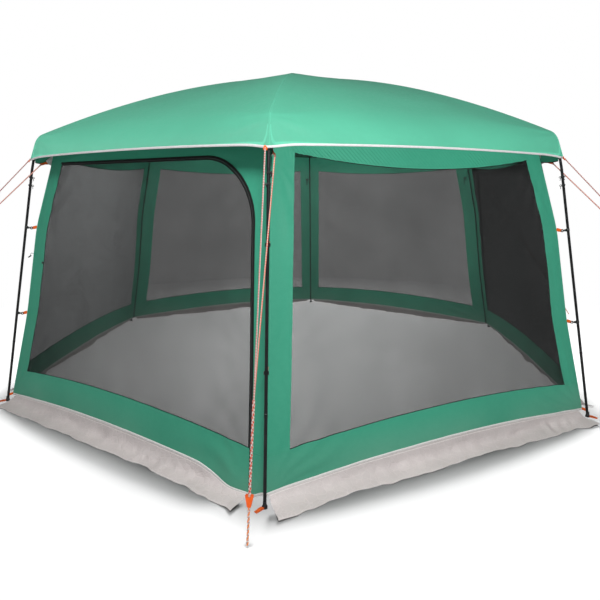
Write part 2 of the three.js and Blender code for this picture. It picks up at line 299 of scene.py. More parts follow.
def tube(path, radius, sides=14, loop=False, normal=None):
    normal = any_normal(path) if normal is None else normal
    if np.ndim(radius):
        return sweep(path, circle(1.0, sides), normal, scale=radius, loop=loop)
    return sweep(path, circle(radius, sides), normal, loop=loop)


def arc(centre, x, y, radius, start, stop, count=28):
    angle = np.radians(steps(count, start, stop))[:, None]
    return centre + radius * (np.cos(angle) * x + np.sin(angle) * y)


def ring(centre, x, y, radius, wire, axis, count=20, sides=8):
    """A closed ring of round wire in the plane of x and y."""
    path = arc(centre, x, y, radius, 0, 360, count)[:-1]
    return tube(path, wire, sides, loop=True, normal=axis)


def curve(points, count=24):
    """A smooth line through the given points."""
    points = np.asarray(points, float)
    ends = np.concatenate([[2 * points[0] - points[1]], points, [2 * points[-1] - points[-2]]])
    out = []
    for k in range(1, len(ends) - 2):
        p0, p1, p2, p3 = ends[k - 1 : k + 3]
        square = 2 * p0 - 5 * p1 + 4 * p2 - p3
        cube = 3 * p1 - p0 - 3 * p2 + p3
        for t in steps(count)[:-1]:
            out.append(0.5 * (2 * p1 + (p2 - p0) * t + square * t**2 + cube * t**3))
    out.append(points[-1])
    return np.array(out)


def lathe(outline, origin, axis, sides=32):
    """A round body from [radius, height] pairs about an axis."""
    axis = unit(np.asarray(axis, float))
    x = unit(np.cross(axis, [0.3, 0.8, 0.52]))
    y = np.cross(axis, x)
    angle = np.arange(sides) * 2 * math.pi / sides
    around = np.cos(angle)[:, None] * x + np.sin(angle)[:, None] * y
    outline = np.asarray(outline, float)
    points = np.asarray(origin) + outline[:, None, :1] * around[None] + outline[:, None, 1:] * axis
    count = len(outline)
    index = np.arange(count * sides).reshape(count, sides)
    turned = np.roll(index, -1, axis=1)
    faces = quads(index[:-1], turned[:-1], turned[1:], index[1:]).tolist()
    faces.append(index[0][::-1].tolist())
    faces.append(index[-1].tolist())
    weave = np.zeros((count, sides, 3))
    weave[..., 0] = outline[:, 1:]
    weave[..., 1] = angle / (2 * math.pi)
    weave[..., 2] = outline[:, :1]
    return points.reshape(-1, 3), faces, weave.reshape(-1, 3)


# ---------------------------------------------------------------- pieces


def linked(name, data):
    """A new object in the scene."""
    thing = bpy.data.objects.new(name, data)
    bpy.context.scene.collection.objects.link(thing)
    return thing


def build(name, body, parts, replaces=()):
    """Joins (shape, material) parts into one piece that rides on a CAD body."""
    points, faces, weaves, slots = [], [], [], []
    materials = []
    offset = 0
    for (part_points, part_faces, weave), material in parts:
        if material not in materials:
            materials.append(material)
        points.append(part_points)
        weaves.append(weave)
        faces.extend([[k + offset for k in face] for face in part_faces])
        slots.extend([materials.index(material)] * len(part_faces))
        offset += len(part_points)
    mesh = bpy.data.meshes.new(name)
    mesh.from_pydata(np.concatenate(points).tolist(), [], faces)
    for material in materials:
        mesh.materials.append(material)
    mesh.polygons.foreach_set("material_index", slots)
    attribute = mesh.attributes.new("weave", "FLOAT_VECTOR", "POINT")
    attribute.data.foreach_set("vector", np.concatenate(weaves).astype(np.float32).ravel())
    mesh.shade_smooth()
    mesh.set_sharp_from_angle(angle=math.radians(SHARP_ANGLE))
    mesh.update()
    piece = linked(name, mesh)
    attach(piece, body)
    if replaces:
        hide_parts(*replaces)


# ---------------------------------------------------------------- materials


class Shader:
    """A node material under construction."""

    def __init__(self, name):
        self.material = bpy.data.materials.new(name)
        self.material.use_nodes = True
        self.tree = self.material.node_tree
        self.tree.nodes.clear()
        self.output = self.tree.nodes.new("ShaderNodeOutputMaterial")

    def node(self, kind, inputs=None, out=0, **settings):
        made = self.tree.nodes.new("ShaderNode" + kind)
        for key, value in settings.items():
            setattr(made, key, value)
        for key, value in (inputs or {}).items():
            if isinstance(value, bpy.types.NodeSocket):
                self.tree.links.new(value, made.inputs[key])
            else:
                made.inputs[key].default_value = value
        return made.outputs[out]

    def math(self, operation, a, b=0.0):
        return self.node("Math", {0: a, 1: b}, operation=operation)

    def times(self, a, b):
        return self.math("MULTIPLY", a, b)

    def weave(self):
        """The piece's own coordinates. On a sheet: along, across and the distance to a seam."""
        return self.node("Attribute", out="Vector", attribute_name="weave")

    def split(self, vector):
        parts = self.node("SeparateXYZ", {0: vector})
        return [parts.node.outputs[k] for k in range(3)]

    def place(self):
        return self.node("TexCoord", out="Object")

    def noise(self, vector, scale, detail=4.0, roughness=0.55, distortion=0.0):
        inputs = {
            "Vector": vector,
            "Scale": scale,
            "Detail": detail,
            "Roughness": roughness,
            "Distortion": distortion,
        }
        return self.node("TexNoise", inputs)

    def ramp(self, value, low, high, to_low=0.0, to_high=1.0):
        inputs = {0: value, 1: low, 2: high, 3: to_low, 4: to_high}
        return self.node("MapRange", inputs, clamp=True)

    def mix(self, share, a, b, blend="MIX"):
        made = self.tree.nodes.new("ShaderNodeMix")
        made.data_type = "RGBA"
        made.blend_type = blend
        for socket, value in zip((made.inputs[0], made.inputs[6], made.inputs[7]), (share, a, b)):
            if isinstance(value, bpy.types.NodeSocket):
                self.tree.links.new(value, socket)
            else:
                socket.default_value = value
        return made.outputs[2]

    def sine(self, value, pitch, phase=0.0):
        turned = self.times(value, 2 * math.pi / pitch)
        return self.math("SINE", self.math("ADD", turned, phase))

    def bump(self, height, strength, distance, normal=None):
        inputs = {"Height": height, "Strength": strength, "Distance": distance}
        if normal is not None:
            inputs["Normal"] = normal
        return self.node("Bump", inputs)

    def principled(self, tone, roughness, **more):
        inputs = {key.replace("_", " "): value for key, value in more.items()}
        return self.node("BsdfPrincipled", {"Base Color": tone, "Roughness": roughness, **inputs})

    def finish(self, surface):
        self.tree.links.new(surface, self.output.inputs["Surface"])
        return self.material


def colour(r, g, b):
    return (r, g, b, 1.0)


def scaled(base, factor):
    return colour(*[min(1.0, x * factor) for x in base[:3]])


WHITE = colour(1.0, 1.0, 1.0)
DUST = colour(0.42, 0.40, 0.36)
SOIL = colour(0.30, 0.26, 0.21)
PALE_THREAD = colour(0.85, 0.83, 0.80)
# Shares of the light that go through. Rays other than the camera's pass the net more freely.
SEE_THROUGH = {"cloth": 0.12, "flap": 0.15, "net, for light": 0.80}


def plain_weave(s, along, across, pitch):
    """Height of a plain weave, between about -1 and 1."""
    return s.times(s.sine(along, pitch), s.sine(across, pitch, math.pi / 2))


def stitch_mask(s, along, distance, at, length=0.005, width=0.0007):
    """1 on the threads of a seam that runs at a given distance from the cloth's edge."""
    off = s.math("ABSOLUTE", s.math("SUBTRACT", distance, at))
    line = s.ramp(off, width, width * 1.6, 1.0, 0.0)
    dash = s.math("FRACT", s.math("DIVIDE", along, length))
    thread = s.ramp(s.math("ABSOLUTE", s.math("SUBTRACT", dash, 0.5)), 0.30, 0.38, 1.0, 0.0)
    return s.times(line, thread)


def fabric(name, base, light, thread, stain=0.06):
    """Coated polyester: plain weave, soft sheen, uneven dye, sewn edges, rubbed and dusty parts."""
    s = Shader(name)
    vector = s.weave()
    along, across, edge = s.split(vector)
    spot = s.place()
    broad = s.noise(spot, 1.3, 3.0)
    fine = s.noise(spot, 38.0, 5.0, 0.65)
    streaks = s.noise(s.node("Mapping", {0: vector, 3: (14.0, 160.0, 14.0)}), 1.0, 3.0)
    tone = s.mix(s.ramp(broad, 0.32, 0.68), scaled(base, 0.93), scaled(base, 1.07))
    tone = s.mix(s.ramp(fine, 0.35, 0.70, 0.0, 0.20), tone, light)
    tone = s.mix(s.ramp(streaks, 0.40, 0.75, 0.0, 0.12), tone, scaled(base, 0.85))
    rub = s.times(s.ramp(edge, 0.0, 0.010, 1.0, 0.0), s.ramp(fine, 0.40, 0.60))
    tone = s.mix(s.times(rub, 0.20), tone, light)
    height = s.split(spot)[2]
    dusty = s.times(s.ramp(height, 0.02, 0.24, stain, 0.0), s.ramp(broad, 0.3, 0.7))
    tone = s.mix(dusty, tone, DUST)
    seam = stitch_mask(s, along, edge, 0.006)
    tone = s.mix(s.times(seam, 0.8), tone, thread)
    thick = s.bump(plain_weave(s, along, across, 0.0012), 0.35, 0.00012)
    thick = s.bump(s.ramp(edge, 0.007, 0.009, 1.0, 0.0), 0.5, 0.0006, thick)
    thick = s.bump(seam, 0.6, 0.0005, thick)
    thick = s.bump(s.noise(spot, 9.0, 4.0, 0.6, 0.4), 0.35, 0.004, thick)
    body = s.principled(
        tone,
        s.ramp(fine, 0.3, 0.7, 0.50, 0.63),
        Sheen_Weight=0.02,
        Sheen_Roughness=0.45,
        Sheen_Tint=colour(0.75, 1.0, 0.90),
        Specular_IOR_Level=0.20,
        Normal=thick,
    )
    glow = s.node("BsdfTranslucent", {"Color": s.mix(0.35, tone, light), "Normal": thick})
    return s.finish(s.node("MixShader", {0: SEE_THROUGH["cloth"], 1: body, 2: glow}))


def netting(name, base, clear):
    """Fine dark net: what is behind it shows through, less at a slant."""
    s = Shader(name)
    along, across = s.split(s.weave())[:2]
    spot = s.place()
    slack = s.noise(spot, 2.2, 3.0)
    face = s.node("NewGeometry", out="Normal")
    towards = s.node("NewGeometry", out="Incoming")
    facing = s.node("VectorMath", {0: face, 1: towards}, out="Value", operation="DOT_PRODUCT")
    facing = s.math("MAXIMUM", s.math("ABSOLUTE", facing), 0.30)
    open_share = s.math("POWER", clear, s.math("DIVIDE", 0.5, facing))
    open_share = s.times(open_share, s.ramp(slack, 0.3, 0.7, 0.95, 1.05))
    seen = s.node("LightPath", out="Is Camera Ray")
    open_share = s.node("Mix", {0: seen, 2: SEE_THROUGH["net, for light"], 3: open_share})
    yarn = s.mix(s.ramp(s.noise(spot, 60.0, 4.0), 0.35, 0.65), scaled(base, 0.7), scaled(base, 1.3))
    yarn = s.mix(s.ramp(s.noise(spot, 1.1, 3.0), 0.4, 0.7, 0.0, 0.5), yarn, scaled(base, 1.8))
    ridge = s.bump(plain_weave(s, along, across, 0.0016), 0.5, 0.0003)
    rough = s.ramp(slack, 0.3, 0.7, 0.80, 0.92)
    body = s.principled(yarn, rough, Specular_IOR_Level=0.06, Normal=ridge)
    see = s.node("BsdfTransparent", {"Color": WHITE})
    return s.finish(s.node("MixShader", {0: open_share, 1: body, 2: see}))


def crinkled(name, base):
    """Thin light sheet, creased all over and a little dirty towards the ground. Painted shade darkens its
    hollows and its top under the trim.
    """
    s = Shader(name)
    along, across, edge = s.split(s.weave())
    spot = s.place()
    creases = s.node("TexVoronoi", {"Vector": spot, "Scale": 26.0}, feature="DISTANCE_TO_EDGE")
    crush = s.noise(spot, 34.0, 6.0, 0.65, 0.9)
    broad = s.noise(spot, 3.0, 4.0)
    tone = s.mix(s.ramp(broad, 0.35, 0.65), scaled(base, 0.92), scaled(base, 1.06))
    # Painted shade: darker in the hollows of the crushed sheet, which the same crush noise raises and
    # lowers.
    tone = s.mix(s.ramp(crush, 0.38, 0.66, 0.25, 0.0), tone, scaled(base, 0.68))
    tone = s.mix(s.ramp(creases, 0.0, 0.05, 0.25, 0.0), tone, scaled(base, 1.25))
    height = s.split(spot)[2]
    # Painted shade: darker towards the top of the flap, where the trim above it would shade it.
    tone = s.mix(s.ramp(height, 0.020, 0.055, 0.0, 0.55), tone, scaled(base, 0.66))
    dirt = s.times(s.ramp(height, 0.0, 0.025, 0.25, 0.0), s.ramp(crush, 0.45, 0.7))
    tone = s.mix(dirt, tone, SOIL)
    seam = stitch_mask(s, along, edge, 0.007, 0.006)
    tone = s.mix(s.times(seam, 0.7), tone, PALE_THREAD)
    folds = s.bump(crush, 0.35, 0.004)
    folds = s.bump(s.ramp(creases, 0.0, 0.12), 0.45, 0.002, folds)
    folds = s.bump(plain_weave(s, along, across, 0.0024), 0.25, 0.0002, folds)
    rough = s.ramp(crush, 0.3, 0.7, 0.50, 0.68)
    body = s.principled(tone, rough, Sheen_Weight=0.1, Specular_IOR_Level=0.4, Normal=folds)
    glow = s.node("BsdfTranslucent", {"Color": tone, "Normal": folds})
    return s.finish(s.node("MixShader", {0: SEE_THROUGH["flap"], 1: body, 2: glow}))


def webbing(name, base, light, sheen=0.15):
    """Woven tape with cross ribs, stitched along both edges. The rib crests carry a painted highlight."""
    s = Shader(name)
    along, _, across = s.split(s.weave())
    ribs = s.sine(along, 0.0022)
    cords = s.sine(across, 0.0016)
    wear = s.noise(s.place(), 90.0, 4.0)
    # Painted highlight: the raised ribs are drawn lighter.
    tone = s.mix(s.ramp(ribs, -1.0, 1.0, 0.0, 0.45), base, light)
    tone = s.mix(s.ramp(wear, 0.45, 0.7, 0.0, 0.35), tone, scaled(base, 0.7))
    off = s.math("SUBTRACT", 0.006, s.math("ABSOLUTE", across))
    seam = stitch_mask(s, along, off, 0.0015, 0.004, 0.0005)
    tone = s.mix(s.times(seam, 0.5), tone, light)
    threads = s.bump(s.math("ADD", ribs, s.times(cords, 0.5)), 0.5, 0.0003)
    threads = s.bump(seam, 0.5, 0.0004, threads)
    rough = s.ramp(wear, 0.3, 0.7, 0.62, 0.80)
    body = s.principled(tone, rough, Sheen_Weight=sheen, Specular_IOR_Level=0.2, Normal=threads)
    return s.finish(body)


def coated_steel(name, base):
    """Black powder coat: fine orange peel, light scuffs and a little dust."""
    s = Shader(name)
    spot = s.place()
    peel = s.noise(spot, 900.0, 2.0)
    scuffs = s.noise(s.node("Mapping", {0: spot, 3: (240.0, 240.0, 18.0)}), 1.0, 5.0, 0.7)
    dust = s.noise(spot, 6.0, 5.0, 0.6)
    tone = s.mix(s.ramp(scuffs, 0.60, 0.74, 0.0, 0.5), base, scaled(base, 3.0))
    tone = s.mix(s.ramp(dust, 0.52, 0.75, 0.0, 0.10), tone, colour(0.10, 0.095, 0.09))
    rough = s.ramp(scuffs, 0.4, 0.75, 0.40, 0.62)
    grain = s.bump(peel, 0.25, 0.0002)
    return s.finish(s.principled(tone, rough, Specular_IOR_Level=0.22, Normal=grain))


def moulded(name, base, gloss=0.42, grain=0.3):
    """Injection-moulded plastic: fine spark grain, paler rubbed patches."""
    s = Shader(name)
    spot = s.place()
    pits = s.noise(spot, 1400.0, 3.0, 0.6)
    rubs = s.noise(spot, 55.0, 5.0, 0.65)
    tone = s.mix(s.ramp(rubs, 0.50, 0.72, 0.0, 0.45), base, scaled(base, 1.8))
    tone = s.mix(s.ramp(rubs, 0.30, 0.45, 0.35, 0.0), tone, scaled(base, 0.75))
    rough = s.ramp(rubs, 0.35, 0.7, gloss - 0.06, gloss + 0.12)
    return s.finish(s.principled(tone, rough, Normal=s.bump(pits, grain, 0.00015)))


def braid(name, one, two, lay=0.011):
    """Braided cord: two colours of yarn that cross in spirals."""
    s = Shader(name)
    along, around = s.split(s.weave())[:2]
    turn = s.times(around, lay)
    right = s.sine(s.math("ADD", along, turn), lay)
    left = s.sine(s.math("SUBTRACT", along, turn), lay)
    fuzz = s.noise(s.place(), 700.0, 3.0)
    share = s.ramp(s.times(right, left), -0.15, 0.15)
    tone = s.mix(share, one, two)
    tone = s.mix(s.ramp(fuzz, 0.45, 0.7, 0.0, 0.35), tone, scaled(one, 0.6))
    strands = s.math("MAXIMUM", s.math("ABSOLUTE", right), s.math("ABSOLUTE", left))
    rough = s.ramp(fuzz, 0.3, 0.7, 0.66, 0.82)
    ridges = s.bump(strands, 0.7, 0.0006)
    body = s.principled(tone, rough, Sheen_Weight=0.2, Specular_IOR_Level=0.3, Normal=ridges)
    return s.finish(body)


def zip_teeth(name, base):
    """Nylon coil: close cross ridges with a painted highlight line on each."""
    s = Shader(name)
    ridges = s.sine(s.split(s.weave())[0], 0.0018)
    wear = s.noise(s.place(), 120.0, 4.0)
    # Painted highlight along the crest of each ridge.
    tone = s.mix(s.ramp(ridges, 0.2, 1.0, 0.0, 0.6), base, scaled(base, 2.6))
    tone = s.mix(s.ramp(wear, 0.5, 0.7, 0.0, 0.4), tone, scaled(base, 1.8))
    rough = s.ramp(wear, 0.3, 0.7, 0.34, 0.5)
    return s.finish(s.principled(tone, rough, Normal=s.bump(ridges, 0.8, 0.0005)))


GREEN = colour(0.056, 0.262, 0.173)
WALL_GREEN = colour(0.036, 0.272, 0.172)
PALE_GREEN = colour(0.070, 0.34, 0.225)
CANOPY_CLOTH = fabric("canopy_cloth", GREEN, PALE_GREEN, colour(0.10, 0.42, 0.29))
WALL_CLOTH = fabric("wall_cloth", WALL_GREEN, PALE_GREEN, colour(0.08, 0.36, 0.24), stain=0.25)
WINDOW_NET = netting("window_net", colour(0.012, 0.0125, 0.0125), 0.37)
FLAP_SHEET = crinkled("flap_sheet", colour(0.66, 0.60, 0.59))
PATCH_SHEET = crinkled("patch_sheet", colour(0.62, 0.60, 0.60))
STEEL = coated_steel("leg_steel", colour(0.0040, 0.0042, 0.0048))
ROD = coated_steel("rod_resin", colour(0.018, 0.019, 0.021))
BARE = coated_steel("bare_joint", colour(0.22, 0.22, 0.23))
PLASTIC = moulded("black_plastic", colour(0.0045, 0.0045, 0.005))
ORANGE_PLASTIC = moulded("orange_plastic", colour(0.66, 0.085, 0.004), 0.36, 0.15)
ORANGE_TAPE = webbing("orange_tape", colour(0.58, 0.075, 0.004), colour(0.85, 0.17, 0.015))
WHITE_TAPE = webbing("white_tape", colour(0.53, 0.515, 0.52), colour(0.67, 0.655, 0.66), 0.0)
PALE_TAPE = webbing("pale_tape", colour(0.60, 0.59, 0.58), colour(0.74, 0.73, 0.72), 0.0)
BLACK_TAPE = webbing("black_tape", colour(0.0045, 0.0060, 0.0055), colour(0.010, 0.013, 0.012), 0.0)
ORANGE_CORD = braid("orange_cord", colour(0.72, 0.16, 0.02), colour(0.80, 0.30, 0.08), 0.020)
BLACK_CORD = braid("black_cord", colour(0.0045, 0.0045, 0.005), colour(0.010, 0.010, 0.011), 0.005)
RED_CORD = braid("red_cord", colour(0.52, 0.045, 0.014), colour(0.56, 0.42, 0.36), 0.024)
PALE_CORD = braid("pale_cord", colour(0.58, 0.50, 0.47), colour(0.32, 0.030, 0.022), 0.024)
ZIP_COIL = zip_teeth("zip_coil", colour(0.006, 0.006, 0.0065))

# ---------------------------------------------------------------- walls

# Folds that fan out from the wall corners: height, depth and how close together they lie.
CREASES = [(0.03, 0.0030, 13), (0.615, 0.0014, 9), (1.190, 0.0014, 9), (1.60, 0.0022, 11)]
ZIP_LINE = 0.13  # the cloth of the door wall lies flat within this distance of its zip
PLEAT = {"pitch": 0.0175, "depth": 0.0024, "top": 1.74}
BINDING = {"level": 0.0036, "upright": 0.0042, "thick": 0.0028}


def relief(i, along, z):
    """How far the cloth of a wall stands out: slow billows, and folds that fan from its corners."""
    half = span(z) / 2
    points = np.stack([along, z, np.full_like(along, i * 3.7)], axis=-1)
    total = 0.0030 * ripple(points, 20 + i, 1.1) + 0.0009 * ripple(points, 40 + i, 0.25)
    wander = ripple(points, 60 + i, 0.5)
    for end in (-1, 1):
        inwards = half - end * along
        for height, depth, count in CREASES:
            rise = z - height
            reach = np.hypot(inwards, rise)
            fan = np.exp(-(((reach - 0.30) / 0.22) ** 2))
            turn = np.arctan2(rise, inwards)
            total = total + depth * fan * np.sin(count * turn * 1.6 + 1.5 * wander + i)
    fade = smooth_step((half - np.abs(along)) / 0.10)
    if i == DOOR_WALL:
        from_zip = np.abs(along + half - DOOR["strip"])
        fade = fade * (0.15 + 0.6 * smooth_step(from_zip / ZIP_LINE - 0.3))
    return total * fade


def pleats(i, along, z):
    """The gathered cloth above the window of one wall."""
    if i != VALANCE_WALL:
        return 0.0
    top, sag = VALANCE_TOP
    share = np.clip(along / span(z) + 0.5, 0, 1)
    above = z - (top - sag * crest(share))
    across = (along - above) * 0.707
    points = np.stack([along, z, z * 0], axis=-1)
    gather = np.sin(2 * math.pi * across / PLEAT["pitch"] + 1.3 * ripple(points, 81, 0.45))
    depth = PLEAT["depth"] + 0.0012 * ripple(points, 82, 0.2)
    band = smooth_step(above / 0.016) * smooth_step((PLEAT["top"] - z) / 0.05)
    return depth * gather * band * smooth_step((span(z) / 2 - np.abs(along)) / 0.12)


def flare(i, along, z):
    """The foot of the door wall's strip swings out a little where the zip ends above it."""
    if i != DOOR_WALL:
        return 0.0
    from_corner = along + span(z) / 2
    near = np.exp(-(((from_corner - FLARE["at"]) / FLARE["width"]) ** 2))
    near = near * smooth_step(from_corner / FLARE["root"])
    return FLARE["out"] * near * smooth_step((FLARE["top"] - z) / FLARE["fade"])


def on_wall(i, along, z, lift=0.0):
    along, z = np.broadcast_arrays(np.asarray(along, float), np.asarray(z, float))
    out = span(z) * COS30 + relief(i, along, z) + pleats(i, along, z) + flare(i, along, z) + lift
    return at_wall(i, out, along, z)


def wall_normal(i):
    return unit(outward(wall_angle(i)) + UP * LEG_LEAN * COS30)


def along_at(share, z, margin, end_margin=None):
    end_margin = margin if end_margin is None else end_margin
    length = span(z)
    return margin + (length - margin - end_margin) * share - length / 2


def window_spot(i, share, rise, shrink=0.0):
    """(along, z) in a window: share runs across it and rise from its lower to its upper edge."""
    top, sag = VALANCE_TOP if i == VALANCE_WALL else WINDOW_TOP
    low = trim_z(share) + BAND_HEIGHT + shrink
    high = top - sag * crest(share) - shrink
    z = low + (high - low) * rise
    return along_at(share, z, STRIP_WIDTH + shrink), z


def door_spot(share, rise, shrink=0.0):
    """(along, z) in the door: share is 0 at the zip, where the top falls in an arch."""
    width = share * span(DOOR["top"])
    arch = np.maximum(0, 1 - width / DOOR["arch_width"])
    low = trim_z(share) + BAND_HEIGHT + shrink
    high = DOOR["top"] - DOOR["arch_height"] * (1 - np.sqrt(1 - arch**2)) - shrink
    z = low + (high - low) * rise
    return along_at(share, z, DOOR["strip"] + shrink, STRIP_WIDTH + shrink), z


def opening_spot(i, share, rise, shrink=0.0):
    if i == DOOR_WALL:
        return door_spot(share, rise, shrink)
    return window_spot(i, share, rise, shrink)


def square_edge(counts):
    """Points round the unit square from (0, 0): bottom, far side, top and near side."""
    bottom, far, top, near = [steps(count)[:-1] for count in counts]
    share = np.concatenate([bottom, np.ones(len(far)), 1 - top, np.zeros(len(near))])
    rise = np.concatenate([np.zeros(len(bottom)), far, np.ones(len(top)), 1 - near])
    return share, rise


def spread(i, share):
    """The steps across the door crowd towards its zip, where the arch is steep."""
    return share**2 if i == DOOR_WALL else share


def wall_cloth(i):
    counts = (150, 110, 420 if i == VALANCE_WALL else 170, 110)
    share, rise = square_edge(counts)
    share = spread(i, share)
    low = foot_z(i, share)
    outer_z = low + (WALL_TOP - low) * rise
    outer_along = along_at(share, outer_z, CORNER_GAP)
    inner_along, inner_z = opening_spot(i, share, rise)
    v = steps(30 if i == VALANCE_WALL else 14)[:, None]
    along = outer_along + (inner_along - outer_along) * v
    z = outer_z + (inner_z - outer_z) * v
    width = np.hypot(inner_along - outer_along, inner_z - outer_z)
    edge = np.minimum(v, 1 - v) * width
    weave = np.stack([along, z, edge], axis=-1)
    return sheet(on_wall(i, along, z), weave, closed=True)


def net_grid(i, shrink, counts=(70, 60)):
    u, v = np.meshgrid(spread(i, steps(counts[0])), steps(counts[1]))
    along, z = opening_spot(i, u, v, shrink)
    weave = np.stack([along, z, np.full_like(z, 0.1)], axis=-1)
    return on_wall(i, along, z), weave


def edge_line(i, side, shrink=0.0, count=80):
    """A line along one side of an opening: bottom, far, top or near, as (along, z)."""
    t = steps(count)
    one, nought = np.ones_like(t), np.zeros_like(t)
    share, rise = {
        "bottom": (spread(i, t), nought),
        "far": (one, t),
        "top": (spread(i, t), one),
        "near": (nought, t),
    }[side]
    return opening_spot(i, share, rise, shrink)


def tape_on_wall(i, line, width, thickness, lift=0.0):
    along, z = line
    return sweep(on_wall(i, along, z, lift), strap_section(width, thickness), wall_normal(i))


def wall_parts(i):
    name = WALLS[i]
    parts = [(wall_cloth(i), WALL_CLOTH)]
    sides = ("bottom", "far") if i == DOOR_WALL else ("bottom", "far", "top", "near")
    for side in sides:
        way = "level" if side in ("bottom", "top") else "upright"
        dark = way == "level" and i != DOOR_WALL
        tape = tape_on_wall(i, edge_line(i, side), BINDING[way], BINDING["thick"])
        parts.append((tape, BLACK_TAPE if dark else WALL_CLOTH))
    build(f"cloth_wall_{name}", "root", parts, [f"wall_frame_{name}"])

    share = steps(120)
    z = foot_z(i, share)
    along = along_at(share, z, 0.004)
    trim = tape_on_wall(i, (along, z + 0.001), 0.0125, 0.0056, 0.0012)
    build(f"trim_{name}", "root", [(trim, PALE_TAPE)])


def corner_seam(i):
    """The sewn corner between two walls, with a narrow raised fold."""
    z = steps(90, TRIM["z"], WALL_TOP)
    path = at_corner(i, span(z) - 0.0005, z)
    out = outward(corner_angle(i))
    fold = sweep(path, strap_section(0.0062, 0.0050), out)
    tape = sweep(path - out * 0.0055, strap_section(0.0130, 0.0022), out)
    build(f"corner_seam_{CORNERS[i]}", "root", [(fold, WALL_CLOTH), (tape, BLACK_TAPE)])


def corner_strip_seams():
    """Flat-felled seams where the strips meet the lower band."""
    z = trim_z(0.0) + BAND_HEIGHT - 0.012
    reach = steps(16, 0.006, STRIP_WIDTH - 0.006) - float(span(z)) / 2
    parts = []
    for i in range(6):
        for along in (reach, -reach):
            line = (along, np.full_like(along, z))
            parts.append((tape_on_wall(i, line, 0.0045, 0.0022, 0.0005), WALL_CLOTH))
    build("strip_seams", "root", parts)


def zip_line(shrink):
    """The zip's line: up beside corner a, round the arch and along the top to corner b."""
    near_along, near_z = edge_line(DOOR_WALL, "near", shrink, 120)
    top_along, top_z = edge_line(DOOR_WALL, "top", shrink, 160)
    return np.concatenate([near_along, top_along[1:]]), np.concatenate([near_z, top_z[1:]])


def door_and_zip():
    grid, weave = net_grid(DOOR_WALL, 0.0015, (90, 70))
    parts = [(sheet(grid, weave, NET), WINDOW_NET)]
    parts.append((tape_on_wall(DOOR_WALL, zip_line(0.0055), 0.0075, 0.0022, 0.0008), BLACK_TAPE))
    for side in ("bottom", "far"):
        line = edge_line(DOOR_WALL, side, 0.004)
        parts.append((tape_on_wall(DOOR_WALL, line, 0.0034, 0.0020, 0.0006), BLACK_TAPE))
    build("net_door", "door", parts, ["door_mesh"])

    tape = tape_on_wall(DOOR_WALL, zip_line(-0.0060), 0.0135, 0.0026, 0.0010)
    coil = tape_on_wall(DOOR_WALL, zip_line(-0.0005), 0.0046, 0.0034, 0.0014)
    z = steps(20, trim_z(0.0) + 0.004, trim_z(0.0) + BAND_HEIGHT)
    tail = (along_at(0.0, z, DOOR["strip"] - 0.002), z)
    tail = tape_on_wall(DOOR_WALL, tail, 0.0055, 0.0026, 0.0010)
    build("zip_tape", "root", [(tape, BLACK_TAPE), (tail, BLACK_TAPE), (coil, ZIP_COIL)])


def window_net(i):
    grid, weave = net_grid(i, 0.0)
    name = WALLS[i]
    net = (sheet(grid, weave, NET), WINDOW_NET)
    build(f"net_window_{name}", "root", [net], [f"window_mesh_{name}"])


# By wall: how much of the flap is cut off at its start, and how much is added at its end.
FLAP_ENDS = {5: (0.0, 0.030), 0: (0.062, 0.0), 1: (0.10, 0.0), 4: (0.0, -0.10)}
FLAP_LENGTH = 1.95
FLAP_DEPTH = 0.14


def flap(i):
    """Ground flap: a crushed sheet that drops from the trim and spreads on the ground."""
    share = steps(260)[None]
    rise = steps(30)[:, None]
    seed = 200 + i
    along_flap = share * FLAP_LENGTH
    level = np.stack([along_flap, share * 0 + i * 2.3, share * 0], axis=-1)
    cut, grown = FLAP_ENDS.get(i, (0.0, 0.0))
    bottom = FLAP["corner"] + (FLAP["middle"] - FLAP["corner"]) * crest(share)
    bottom = bottom + 0.009 * ripple(level, seed, 0.45) + 0.003 * ripple(level, seed + 1, 0.09) - 0.004
    reach = (2 * share - 1) * (FLAP["tip"] + 0.006 * ripple(level, seed + 2, 0.2))
    trimmed = cut * (1 - share) ** 6
    reach = reach + trimmed + grown * share**6
    low = at_wall(i, bottom, reach, FLAP["low"])
    along = along_at(share, TRIM["z"], FLAP["end"]) + trimmed + grown * 0.8 * share**6
    z = foot_z(i, np.clip(along / span(TRIM["z"]) + 0.5, 0, 1)) - 0.003
    top = on_wall(i, along, z)
    end = np.minimum(share, 1 - share)
    grid = low + (top - low) * rise[..., None]
    droop = top[..., 2] * (rise - rise**3.6) * (0.84 + 0.10 * ripple(level, seed + 60, 0.4))
    grid[..., 2] = grid[..., 2] - droop
    loose = smooth_step((1 - rise) * 2.2)
    crush = 0.0085 * ripple(grid, seed + 10, 0.24) + 0.0052 * ripple(grid, seed + 20, 0.10)
    crush = crush + 0.0014 * ripple(grid, seed + 30, 0.042)
    lean = along_flap + 0.35 * rise * FLAP_DEPTH
    gathers = np.sin(lean * 2 * math.pi / 0.105 + 3.2 * ripple(level, seed + 40, 0.5))
    strength = 0.0085 * np.clip(0.4 + 0.6 * ripple(level, seed + 41, 0.45), 0.08, 1.3)
    crush = crush + strength * gathers * np.sin(math.pi * np.minimum(1, rise * 1.1))
    curl = 0.005 * np.exp(-((end / 0.035) ** 2)) * (1 - rise)
    grid = grid + wall_normal(i) * (crush * loose)[..., None]
    grid[..., 2] = grid[..., 2] + curl + 0.0035 * np.minimum(1, rise * 6)
    lowest = FLAP["low"] + 0.0030 * np.abs(ripple(level, seed + 50, 0.14)) * np.minimum(1, rise * 8)
    grid[..., 2] = np.maximum(grid[..., 2], lowest)
    down = (1 - rise) * FLAP_DEPTH + share * 0
    edge = np.minimum(down, FLAP_DEPTH - down)
    weave = np.stack([along_flap + rise * 0, down, edge], axis=-1)
    name = WALLS[i]
    made = sheet(grid[:, ::-1], weave[:, ::-1])
    build(f"sheet_flap_{name}", "root", [(made, FLAP_SHEET)], [f"ground_flap_{name}"])


# ---------------------------------------------------------------- canopy


def roof_z(r):
    return DOME["z"] - (DOME["z"] - KNEE[1]) * (np.abs(r) / KNEE[0]) ** DOME["power"]


